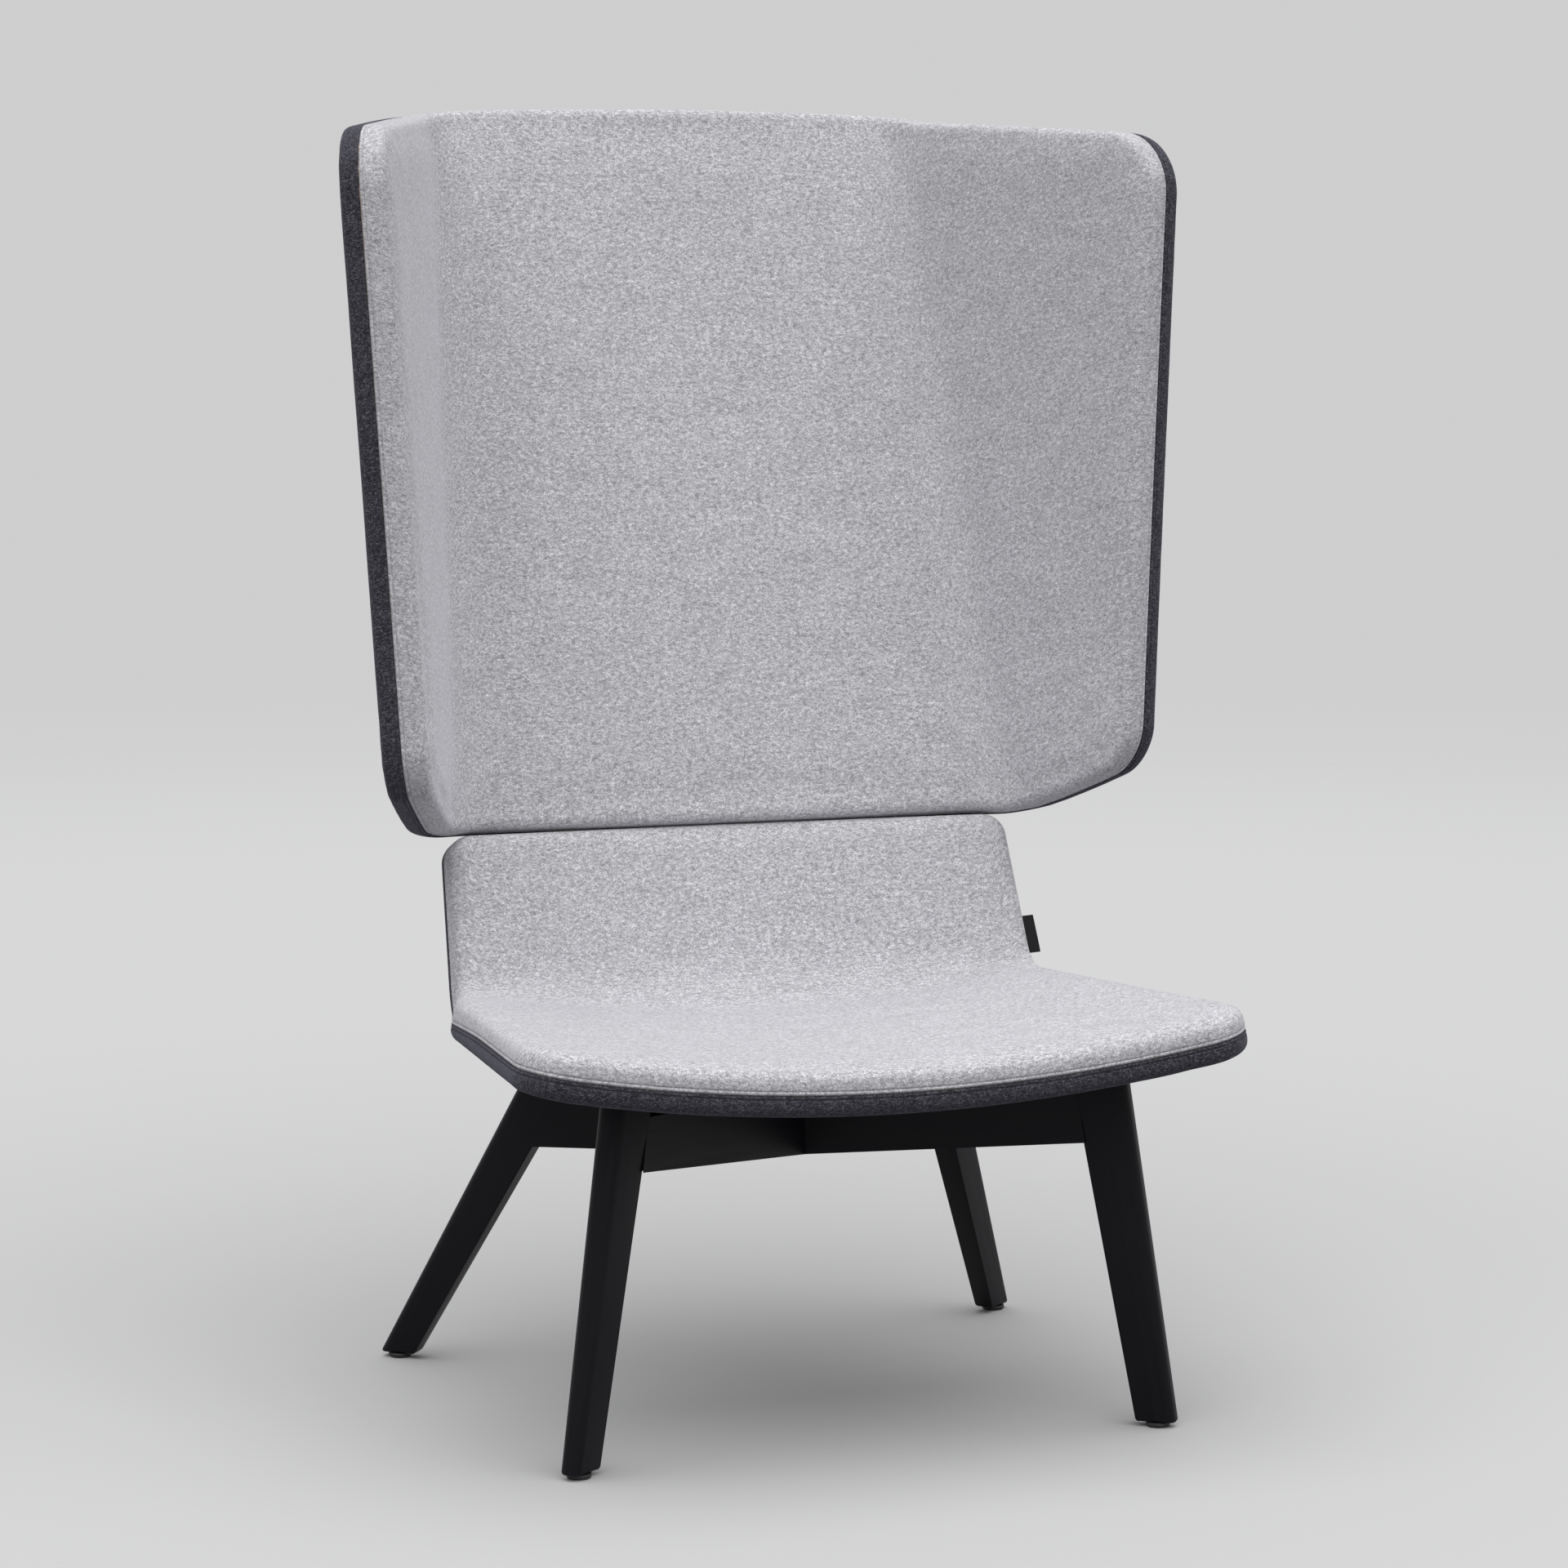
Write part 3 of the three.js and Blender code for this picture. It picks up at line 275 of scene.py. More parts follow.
finish = dict(
    lightFelt=painted("light_felt", felt, lightFelt),
    darkFelt=painted("dark_felt", felt, darkFelt),
    lightThread=painted("light_thread", thread, lightThread),
    darkThread=painted("dark_thread", thread, darkThread),
    stainedWood=painted("stained_wood", wood, stainedWood),
    beech=painted("beech", wood, beechWood),
    plywood=painted("plywood", plywood, plywoodLook),
    steel=painted("zinc_steel", steel, zincLook),
    plastic=painted("glide_plastic", plastic, glideLook),
    ribbon=painted("woven_ribbon", ribbon, ribbonLook),
)
print("stage: materials,", len(finish))


# Putting pieces in the scene

def dress(mesh, material):
    mesh.materials.clear()
    mesh.materials.append(material)


def addObject(name, mesh, material=None):
    piece = bpy.data.objects.new(name, mesh)
    scene.collection.objects.link(piece)
    if material is not None:
        dress(mesh, material)
    return piece


def meshFrom(name, points, faces, edges=()):
    mesh = bpy.data.meshes.new(name)
    mesh.from_pydata([tuple(p) for p in points], list(edges), [tuple(f) for f in faces])
    mesh.update()
    return mesh


def bands(rings):
    # faces from each ring of point numbers to the next
    faces = []
    for before, after in zip(rings, rings[1:]):
        for k in range(len(before)):
            j = (k + 1) % len(before)
            faces.append((before[k], before[j], after[j], after[k]))
    return faces


def lofted(name, rings, hasEnd=True):
    # a skin through rings of places that run left round the way up, with a lid on the first and the last
    count = len(rings[0])
    ids = [range(k * count, (k + 1) * count) for k in range(len(rings))]
    faces = bands(ids) + [ids[0][::-1]] + ([ids[-1]] if hasEnd else [])
    return meshFrom(name, inFrame(np.concatenate(rings)), faces)


def baked(piece):
    # the piece as its modifiers leave it, as a plain mesh with no modifier
    graph = bpy.context.evaluated_depsgraph_get()
    mesh = bpy.data.meshes.new_from_object(piece.evaluated_get(graph), depsgraph=graph)
    piece.modifiers.clear()
    old = piece.data
    piece.data = mesh
    bpy.data.meshes.remove(old)
    return piece


def reshape(mesh, change):
    shape = bmesh.new()
    shape.from_mesh(mesh)
    change(shape)
    shape.to_mesh(mesh)
    shape.free()


def faceOut(mesh):
    def turn(shape):
        bmesh.ops.recalc_face_normals(shape, faces=shape.faces)
        if shape.calc_volume(signed=True) < 0:
            bmesh.ops.reverse_faces(shape, faces=shape.faces)

    reshape(mesh, turn)


def smooth(mesh, sharpDegrees=None):
    mesh.polygons.foreach_set("use_smooth", [True] * len(mesh.polygons))
    if sharpDegrees is not None:
        mesh.set_sharp_from_angle(angle=math.radians(sharpDegrees))
    mesh.update()


def placesOf(mesh):
    flat = np.zeros(len(mesh.vertices) * 3)
    mesh.vertices.foreach_get("co", flat)
    return flat.reshape(-1, 3)


def markPlaces(mesh, name, places):
    mark = mesh.attributes.new(name, "FLOAT_VECTOR", "POINT")
    mark.data.foreach_set("vector", np.ravel(places))


def mapCloth(mesh, cloth):
    # lays the felt on a mesh, by each point's place on the flat cloth in mm
    loops = np.zeros(len(mesh.loops), int)
    mesh.loops.foreach_get("vertex_index", loops)
    mesh.uv_layers.new(name="clothMap").data.foreach_set("uv", (cloth[loops] * mm).ravel())


def declare(piece, slot, *replaced):
    if replaced:
        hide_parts(*replaced)
    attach(piece, "root")
    return piece


# The surface of each padded shell in which its edge seam lies, as one rule for both halves

shieldForm = dict(
    lowerEdge=559, upperEdge=1303, foldLowerRise=2, wingLowerRise=72,
    foldUpperDrop=5, wingUpperDrop=28, foldLower=(316, 213), foldUpper=(273, 448),
    wingLower=(394, 26), wingUpper=(430, 52), radiusLower=80, radiusUpper=92,
    cornerLower=45, cornerUpper=62, bendStart=0.42, bendEnd=0.62, wingCurve=1.25,
    depthFront=27, depthRear=21, roll=15, shoulderFront=9, shoulderRear=9,
)
seatForm = dict(
    front=(-320, 365), crease=(135, 359), top=(214, 557), radius=110,
    edgeFront=(-330, 406), edgeCrease=(131, 387), edgeTop=(205, 557), edgeRadius=48,
    halfWidths=(375, 317, 306), cornerLower=58, cornerUpper=25,
    bendStart=0.5, bendEnd=0.72, dropStart=0.28, dropEnd=0.6,
    depthFront=23, depthRear=21.5, roll=13, shoulderFront=12, shoulderRear=11, seamInset=1.5,
)
padLook = dict(
    # distance from the seam and how far the felt stands out there, in mm: groove, lip and stitched channel
    nearSeam=[(0.0, -1.9), (0.45, -1.0), (1.0, -0.2), (1.8, 0.25), (2.8, 0.2), (3.5, -0.3), (4.0, -1.3),
                 (4.5, -0.3), (5.2, 0.15), (7.0, 0.25)],
    seamGap=0.02, faceRings=6, facePush=0.08, cell=9.0, cornerSteps=6,
    swellCap=3.2, swellReach=55.0, unevenness=0.5, waveLength=90.0,
    pucker=0.22, puckerLength=13.0, seamPucker=0.4,
    # the hidden side: a wall inside the seam, and a lid in front of the plywood in larger faces
    wallInset=2.1, wallRim=0.3, plyHalf=4.5, lidGap={1: 1.5, -1: 0.7}, lidStep=2,
)


def blendTo(a, b, t):
    return a + (b - a) * t


def eased(t):
    return t * t * (3 - 2 * t)


def unit(vectors):
    return vectors / np.maximum(np.linalg.norm(vectors, axis=-1, keepdims=True), 1e-12)


def runAlong(places, axis=0):
    # the length run so far along a row of places
    steps = np.diff(places, axis=axis, prepend=np.take(places, [0], axis))
    return np.cumsum(np.linalg.norm(steps, axis=-1), axis=axis)


def bentLine(form, share, first, fold, last, radius):
    # from first to last with a round bend at the fold, which takes the shares from bendStart to bendEnd
    start, end = form["bendStart"], form["bendEnd"]
    first, fold, last = (np.array(p, float) for p in (first, fold, last))
    before, after = unit(fold - first), unit(last - fold)
    turn = math.acos(float(before @ after))
    setback = radius * math.tan(turn / 2)
    bendStart, bendEnd = fold - before * setback, fold + after * setback
    inward = np.array([-before[1], before[0]]) * np.sign(np.cross(before, after))
    share = np.asarray(share, float)[..., None]
    angle = turn * np.clip((share - start) / (end - start), 0, 1)
    bend = bendStart + before * radius * np.sin(angle) + inward * radius * (1 - np.cos(angle))
    return np.where(share <= start, blendTo(first, bendStart, share / start),
                    np.where(share < end, bend, blendTo(bendEnd, last, (share - end) / (1 - end))))


def steppedHeight(share, atFold, atEdge):
    middle = (shieldForm["bendStart"] + shieldForm["bendEnd"]) / 2
    past = np.clip((share - middle) / (1 - middle), 0, 1)
    return np.where(share < middle, atFold * (share / middle) ** 2,
                    blendTo(atFold, atEdge, past ** shieldForm["wingCurve"]))


def shieldPoint(across, up):
    form, share = shieldForm, np.abs(across)
    low, high = (bentLine(form, share, (0, form["fold" + rim][1]), form["fold" + rim], form["wing" + rim],
                          form["radius" + rim]) for rim in ("Lower", "Upper"))
    x, y = np.moveaxis(blendTo(low, high, np.asarray(up)[..., None]), -1, 0)
    bottom = form["lowerEdge"] + steppedHeight(share, form["foldLowerRise"], form["wingLowerRise"])
    top = form["upperEdge"] - steppedHeight(share, form["foldUpperDrop"], form["wingUpperDrop"])
    return np.stack([np.sign(across) * x, y, blendTo(bottom, top, up)], -1)


def seatPoint(across, along):
    form = seatForm
    middle = bentLine(form, along, form["front"], form["crease"], form["top"], form["radius"])
    edge = bentLine(form, along, form["edgeFront"], form["edgeCrease"], form["edgeTop"], form["edgeRadius"])
    line = blendTo(middle, edge, np.asarray(across)[..., None] ** 2)
    creaseShare = (form["bendStart"] + form["bendEnd"]) / 2
    first, second, third = form["halfWidths"]
    half = np.where(along < creaseShare, blendTo(first, second, along / creaseShare),
                    blendTo(second, third, (along - creaseShare) / (1 - creaseShare)))
    return np.stack([across * half, line[..., 0], line[..., 1]], -1)


def seatSeam(along):
    # over the lower back the seam lies nearer the rear face
    form = seatForm
    drop = form["depthRear"] - form["roll"] - form["seamInset"]
    return -drop * eased(np.clip((along - form["dropStart"]) / (form["dropEnd"] - form["dropStart"]), 0, 1))


def slopes(point, across, along):
    near = 1e-3
    left, right = np.maximum(across - near, -1), np.minimum(across + near, 1)
    low, high = np.maximum(along - near, 0), np.minimum(along + near, 1)
    over = (point(right, along) - point(left, along)) / (right - left)[..., None]
    up = (point(across, high) - point(across, low)) / (high - low)[..., None]
    return over, up, unit(np.cross(over, up))


def evenShares(point, fixed, first, last, overAcross):
    # shares from first to last that lie one cell apart on the surface
    t = np.linspace(first, last, 600)
    length = runAlong(point(t, np.full_like(t, fixed)) if overAcross else point(np.full_like(t, fixed), t))
    count = max(2, round(length[-1] / padLook["cell"]))
    return np.interp(np.linspace(0, length[-1], count + 1), length, t)


def padNet(point, form, seam):
    # a net over the shell's flat part, with rounded corners, and the loop round its border
    roll, lowCorner, highCorner = form["roll"], form["cornerLower"], form["cornerUpper"]
    one, overShare, upShare = np.ones(1), 0.5, 0.3
    edgeSpan = np.linalg.norm(slopes(point, one, one * overShare)[0])
    firstCut = 1 - (lowCorner + highCorner) / 2 / edgeSpan
    inner = evenShares(point, overShare, 0.0, firstCut, True)[:-1] / firstCut
    lowCut = lowCorner / np.linalg.norm(slopes(point, one * upShare, one * 0)[1])
    highCut = 1 - highCorner / np.linalg.norm(slopes(point, one * upShare, one)[1])
    middle = evenShares(point, upShare, lowCut, highCut, False)[1:-1]
    middle = (middle - lowCut) / (highCut - lowCut)
    past = np.linspace(0, 1, padLook["cornerSteps"] + 1)
    halfInner = np.concatenate([inner, np.ones(len(past))])
    halfPast = np.concatenate([np.zeros(len(inner)), past])
    columnInner = np.concatenate([-halfInner[:0:-1], halfInner])
    columnPast = np.concatenate([halfPast[:0:-1], halfPast])
    side = np.concatenate([-np.ones(len(halfInner) - 1), np.ones(len(halfInner))])
    end = np.concatenate([past[::-1], np.zeros(len(middle)), past])[:, None]
    share = np.concatenate([np.zeros(len(past)), middle, np.ones(len(past))])[:, None]
    past, inner = columnPast[None, :], np.abs(columnInner)[None, :]
    corner = blendTo(lowCorner, highCorner, share)
    isMiddle = (end == 0) & (share > 0) & (share < 1)
    along = np.broadcast_to(share, (len(share), len(columnPast))).astype(float)
    for _ in range(3):
        span = np.linalg.norm(slopes(point, np.ones_like(along), along)[0], axis=-1)
        edge = 1 - roll / span
        start = edge - (corner - roll) / span
        outer = blendTo(start, edge, past * np.sqrt(1 - end ** 2 / 2))
        across = side * np.where(past > 0, outer, start * inner)
        lowUnit, highUnit = (np.linalg.norm(slopes(point, np.abs(across), rim)[1], axis=-1)
                             for rim in (np.zeros_like(along), np.ones_like(along)))
        inset = roll + (corner - roll) * (1 - end * np.sqrt(1 - past ** 2 / 2))
        middleAlong = blendTo(lowCorner / lowUnit, 1 - highCorner / highUnit, share)
        along = np.where(isMiddle, middleAlong, np.where(share < 0.5, inset / lowUnit, 1 - inset / highUnit))
    places, normals = point(across, along), slopes(point, across, along)[2]
    rows, columns = along.shape
    cells = ([(0, c) for c in range(columns - 1)] + [(r, columns - 1) for r in range(rows - 1)]
             + [(rows - 1, c) for c in range(columns - 1, 0, -1)] + [(r, 0) for r in range(rows - 1, 0, -1)])
    pick = tuple(np.array(cells).T)
    here, lift = places[pick], normals[pick]
    arrive, leave = (unit(np.cross(unit(way), lift))
                     for way in (here - np.roll(here, 1, axis=0), np.roll(here, -1, axis=0) - here))
    out = (arrive + leave) / (np.sum(arrive * leave, -1, keepdims=True) + 1)
    u = runAlong(places, 1)
    centre = int(np.argmin(np.abs(columnInner)))
    cloth = np.stack([u - u[:, centre:centre + 1], runAlong(places)], -1)
    clothWay = unit(np.roll(cloth[pick], -1, axis=0) - np.roll(cloth[pick], 1, axis=0))
    clothOut = np.stack([clothWay[:, 1], -clothWay[:, 0]], -1)
    return {"form": form, "places": places, "normals": normals, "cloth": cloth, "cells": cells, "pick": pick,
            "out": out, "clothOut": clothOut, "length": runAlong(here), "seam": seam(along[pick])}


def edgeMeasures(net, side):
    # the seam's height, and the lengths of the edge's wall, rounded shoulder and flat strip up to the net
    form, face = net["form"], "Front" if side > 0 else "Rear"
    shoulder = form["shoulder" + face]
    rim = net["seam"] + side * padLook["seamGap"]
    wall = np.abs(side * (form["depth" + face] - shoulder) - rim)
    return rim, wall, shoulder, form["roll"] - shoulder


def onEdge(net, side, distance, push):
    # places on the padded edge at a distance from the seam, pushed out of its surface
    rim, wall, shoulder, strip = edgeMeasures(net, side)
    lift = net["normals"][net["pick"]]
    angle = np.clip((distance - wall) / shoulder, 0, math.pi / 2)
    inward = np.maximum(distance - wall - shoulder * math.pi / 2, 0)
    out = strip + shoulder * np.cos(angle) - inward
    height = rim + side * (np.minimum(distance, wall) + shoulder * np.sin(angle))
    way = net["out"] * np.cos(angle)[:, None] + lift * (side * np.sin(angle))[:, None]
    places = net["places"][net["pick"]] + net["out"] * out[:, None] + lift * height[:, None]
    return places + way * np.reshape(push, (-1, 1))


clothSettings = dict(
    quality=4, mass=0.3, tension_stiffness=15, compression_stiffness=15, shear_stiffness=5,
    bending_stiffness=0.5, use_pressure=True, uniform_pressure_force=4.0, vertex_group_mass="held",
)
clothFrames = 20


def swollen(name, points, faces, held, graded):
    # the cover blown up a little over its foam by cloth pressure, its seam held
    mesh = meshFrom(name + "_sheet", points * mm, faces)
    sheet = addObject(name + "_sheet", mesh)
    sheet.vertex_groups.new(name="held").add([int(k) for k in held], 1.0, "REPLACE")
    cloth = sheet.modifiers.new("cloth", "CLOTH")
    for key, value in clothSettings.items():
        setattr(cloth.settings, key, value)
    cloth.settings.effector_weights.gravity = 0
    cloth.collision_settings.use_collision = False
    cloth.collision_settings.use_self_collision = False
    cloth.point_cache.frame_start, cloth.point_cache.frame_end = 1, clothFrames
    for step in range(1, clothFrames + 1):
        scene.frame_set(step)
    graph = bpy.context.evaluated_depsgraph_get()
    moved = placesOf(sheet.evaluated_get(graph).data) / mm - points
    bpy.data.objects.remove(sheet)
    bpy.data.meshes.remove(mesh)
    scene.frame_set(1)
    size = np.linalg.norm(moved, axis=1, keepdims=True)
    cap = padLook["swellCap"] * graded[:, None]
    return np.where(size > 1e-6, moved / np.maximum(size, 1e-9) * cap * np.tanh(size / np.maximum(cap, 1e-6)), 0)


def makePad(name, net, side, material, resting=None):
    look, cells, pick = padLook, net["cells"], net["pick"]
    rows, columns = net["places"].shape[:2]
    loopCount = len(cells)
    _, wall, shoulder, strip = edgeMeasures(net, side)
    total = wall + shoulder * math.pi / 2 + strip
    depth = net["form"]["depthFront" if side > 0 else "depthRear"]
    faceCloth = net["cloth"].reshape(-1, 2)
    faceLift = net["normals"].reshape(-1, 3) * side
    # rings from the seam to the face; the last is the net's own border
    lastFixed = look["nearSeam"][-1][0]
    steps = [(np.full(loopCount, distance), push) for distance, push in look["nearSeam"]]
    steps += [(blendTo(lastFixed, total, k / look["faceRings"]), look["facePush"])
              for k in range(1, look["faceRings"])]
    ripple = np.array([noise.noise(Vector((s / look["puckerLength"], side * 7.3, 0.0))) for s in net["length"]])
    points, cloth, fromSeam, rings = [net["places"].reshape(-1, 3) + faceLift * depth], [faceCloth], [], []
    for distance, push in steps:
        swing = look["pucker"] * ripple * (1 if np.mean(distance) > lastFixed else look["seamPucker"])
        rings.append(np.arange(loopCount) + sum(len(part) for part in points))
        points.append(onEdge(net, side, distance, push + swing))
        cloth.append(net["cloth"][pick] + net["clothOut"] * (total - distance)[:, None])
        fromSeam.append(distance)
    border = np.array([r * columns + c for r, c in cells])
    points, cloth = np.concatenate(points), np.concatenate(cloth)
    # how far each place lies from the seam, for the swell to grow with
    reach = np.full(len(faceCloth), 1e9)
    for part in np.array_split(faceCloth[border], max(1, loopCount // 40)):
        reach = np.minimum(reach, np.linalg.norm(faceCloth[:, None] - part[None], axis=2).min(1))
    fromSeam = np.concatenate([reach + np.mean(total)] + fromSeam)
    graded = eased(np.clip((fromSeam - lastFixed) / look["swellReach"], 0, 1))
    if resting is not None:
        graded = graded * resting(points)
    faces = [(a, a + 1, a + columns + 1, a + columns) for r in range(rows - 1)
             for a in range(r * columns, (r + 1) * columns - 1)]
    faces += bands(rings + [border])
    if side < 0:
        faces = [face[::-1] for face in faces]
    lift = np.zeros_like(points)
    lift[:rows * columns] = faceLift
    moved = swollen(name, points, faces, np.where(graded < 1e-3)[0], graded)
    wave = np.array([noise.noise(Vector(p) / look["waveLength"]) for p in points])
    points = points + moved + lift * (look["unevenness"] * wave * graded)[:, None]
    lidHeight = side * (look["plyHalf"] + look["lidGap"][side])
    lidNet = net["places"] + net["normals"] * lidHeight
    inside = net["places"][pick] + net["out"] * (net["form"]["roll"] - look["wallInset"])
    wallRing = inside + net["normals"][pick] * (net["seam"] + side * look["wallRim"])[:, None]
    lidWall = inside + net["normals"][pick] * lidHeight
    wallIds = len(points) + np.arange(loopCount)
    lidIds, rim = {}, set(cells)

    def lidId(place):
        return lidIds.setdefault(place, len(points) + 2 * loopCount + len(lidIds))

    closing = bands([[lidId(cell) for cell in cells], wallIds + loopCount, wallIds, rings[0]])
    for r in range(0, rows - 1, look["lidStep"]):
        for c in range(0, columns - 1, look["lidStep"]):
            r1, c1 = min(r + look["lidStep"], rows - 1), min(c + look["lidStep"], columns - 1)
            # along the border the face takes in each place of the ring
            walk = ([(r, k) for k in range(c, c1)] + [(k, c1) for k in range(r, r1)]
                    + [(r1, k) for k in range(c1, c, -1)] + [(k, c) for k in range(r1, r, -1)])
            turns = ((r, c), (r, c1), (r1, c1), (r1, c))
            closing.append([lidId(place) for place in walk if place in turns or place in rim])
    allPoints = np.concatenate([points, wallRing, lidWall, [lidNet[place] for place in lidIds]])
    mesh = meshFrom(name, inFrame(allPoints), faces + closing)
    mapCloth(mesh, np.concatenate([cloth, cloth[rings[0]], cloth[rings[0]],
                                   [net["cloth"][place] for place in lidIds]]))
    faceOut(mesh)
    piece = addObject(name, mesh, material)
    finer = piece.modifiers.new("finer", "SUBSURF")
    finer.levels = finer.render_levels = 1
    finer.uv_smooth = "PRESERVE_BOUNDARIES"
    baked(piece)
    smooth(piece.data)
    print("stage:", name, len(piece.data.polygons), "faces")
    return piece


restForm = dict(halfWidth=285, front=-262, rear=130, fade=40)


def restingOnBase(points):
    # the underside lies flat where the board and the front legs carry it
    form = restForm
    x, y = np.abs(points[:, 0]), points[:, 1]
    outside = np.maximum(np.maximum(x - form["halfWidth"], form["front"] - y), y - form["rear"])
    return eased(np.clip(outside / form["fade"], 0, 1))


nets = {"shield": padNet(shieldPoint, shieldForm, np.zeros_like), "seat": padNet(seatPoint, seatForm, seatSeam)}
padSides = [(shell + "_" + face, nets[shell], side, tone) for shell in nets
            for face, side, tone in (("front", 1, "light"), ("rear", -1, "dark"))]
for name, net, side, tone in padSides:
    pad = makePad(name + "_pad", net, side, finish[tone + "Felt"], restingOnBase if name == "seat_rear" else None)
    declare(pad, tone + "_fabric", name + "_cover", name + "_foam")
# the last pad is the underside of the seat, which the base stands against
seatUnder = BVHTree.FromPolygons([v.co for v in pad.data.vertices], [list(p.vertices) for p in pad.data.polygons])


# Topstitches beside each seam

stitchLook = dict(distance=4.0, sink=-0.75, pitch=4.4, length=3.1, width=0.95, height=0.7,
                  wobble=0.05, seed=11)


def stitchTree(look):
    tree = bpy.data.node_groups.new("stitches_along_path", "GeometryNodeTree")
    for label, end in (("path", "INPUT"), ("stitches", "OUTPUT")):
        tree.interface.new_socket(label, in_out=end, socket_type="NodeSocketGeometry")
    given = put(tree, "NodeGroupInput").outputs
    line = put(tree, "GeometryNodeMeshToCurve", {"Mesh": given["path"]})
    even = put(tree, "GeometryNodeResampleCurve", {"Curve": line, "Length": look["pitch"] * mm}, mode="LENGTH")
    way = put(tree, "GeometryNodeInputTangent")
    turned = put(tree, "FunctionNodeAlignRotationToVector", {"Vector": way}, axis="X")
    stitch = put(tree, "GeometryNodeMeshUVSphere", {"Segments": 6, "Rings": 5, "Radius": 0.5})
    size = [look[key] * mm for key in ("length", "width", "height")]
    shaped = put(tree, "GeometryNodeTransform", {"Geometry": stitch, "Scale": size})
    spread = put(tree, "GeometryNodeInstanceOnPoints", {"Points": even, "Instance": shaped, "Rotation": turned})
    swing = put(tree, "FunctionNodeRandomValue", {0: [-look["wobble"]] * 3, 1: [look["wobble"]] * 3,
                                                  "Seed": look["seed"]}, data_type="FLOAT_VECTOR")
    tilted = put(tree, "GeometryNodeRotateInstances", {"Instances": spread, "Rotation": swing})
    real = put(tree, "GeometryNodeRealizeInstances", {"Geometry": tilted})
    put(tree, "NodeGroupOutput", {"stitches": real})
    return tree


stitching = stitchTree(stitchLook)
for name, net, side, tone in padSides:
    path = inFrame(onEdge(net, side, np.full(len(net["cells"]), stitchLook["distance"]), stitchLook["sink"]))
    edges = [(k, (k + 1) % len(path)) for k in range(len(path))]
    stitches = addObject(name + "_topstitch", meshFrom(name + "_topstitch", path, [], edges))
    modifier = stitches.modifiers.new("stitches", "NODES")
    modifier.node_group = stitching
    smooth(baked(stitches).data)
    dress(stitches.data, finish[tone + "Thread"])
    declare(stitches, tone + "_fabric")
print("stage: topstitches")


# Base

baseForm = dict(
    frontHead=(248, -221), rearHead=(214, 148), frameTopFront=337, frameTopRear=308,
    headDepth=54, headWidth=30, footDepth=40, footWidth=22, rounding=12, innerRounding=1.5, roundSteps=7,
    footHeight=5.3, footBevel=3.2, footZone=3, rimBevel=0.5, rimAngle=55, gap=0.3, headSearch=40,
)
(frontX, frontY), (rearX, rearY) = baseForm["frontHead"], baseForm["rearHead"]
crossing = np.array([0.0, blendTo(frontY, rearY, frontX / (frontX + rearX))])
topSlope = (baseForm["frameTopRear"] - baseForm["frameTopFront"]) / (rearY - frontY)


def frameTop(y):
    return baseForm["frameTopFront"] + topSlope * (y - frontY)


corners = {}
for endName in ("front", "rear"):
    for sideName, sign in (("left", 1), ("right", -1)):
        head = np.array(baseForm[endName + "Head"], float) * (sign, 1)
        outward = unit(head - crossing)
        corners[endName + "_" + sideName] = {
            "head": head, "foot": np.array(footPlan[endName], float) * (sign, 1), "outward": outward,
            "sideways": np.array([-outward[1], outward[0]]), "run": float(np.hypot(*(head - crossing)))}


def markWood(mesh, origin, along):
    # places along and across the grain, for the wood to read
    along = unit(np.array(along, float))
    side = unit(np.cross(along, (0.21, 0.37, 0.9) if abs(along[2]) < 0.9 else (1.0, 0.3, 0.0)))
    turn = np.stack([side, np.cross(along, side), along], 1)
    markPlaces(mesh, "woodPlace", (placesOf(mesh) - origin) @ turn + np.array(origin))


def softenFoot(mesh, level, width):
    # the edges round the underside of a leg
    def bevel(shape):
        rim = [edge for edge in shape.edges if max(v.co.z for v in edge.verts) < level
               and edge.is_manifold and edge.calc_face_angle() > 1]
        bmesh.ops.bevel(shape, geom=rim, offset=width * mm, segments=3, profile=0.5, affect="EDGES", material=-1)

    reshape(mesh, bevel)


def legSection():
    # a bar's section, rounder on its outer side
    form = baseForm
    places = []
    for corner, (x, y) in enumerate(((1, 1), (-1, 1), (-1, -1), (1, -1))):
        radius = form["rounding"] if x > 0 else form["innerRounding"]
        for turn in np.linspace(corner, corner + 1, form["roundSteps"] + 1) * math.pi / 2:
            places.append((x * (form["headDepth"] / 2 - radius) + radius * math.cos(turn),
                           y * (form["headWidth"] / 2 - radius) + radius * math.sin(turn)))
    return np.array(places)


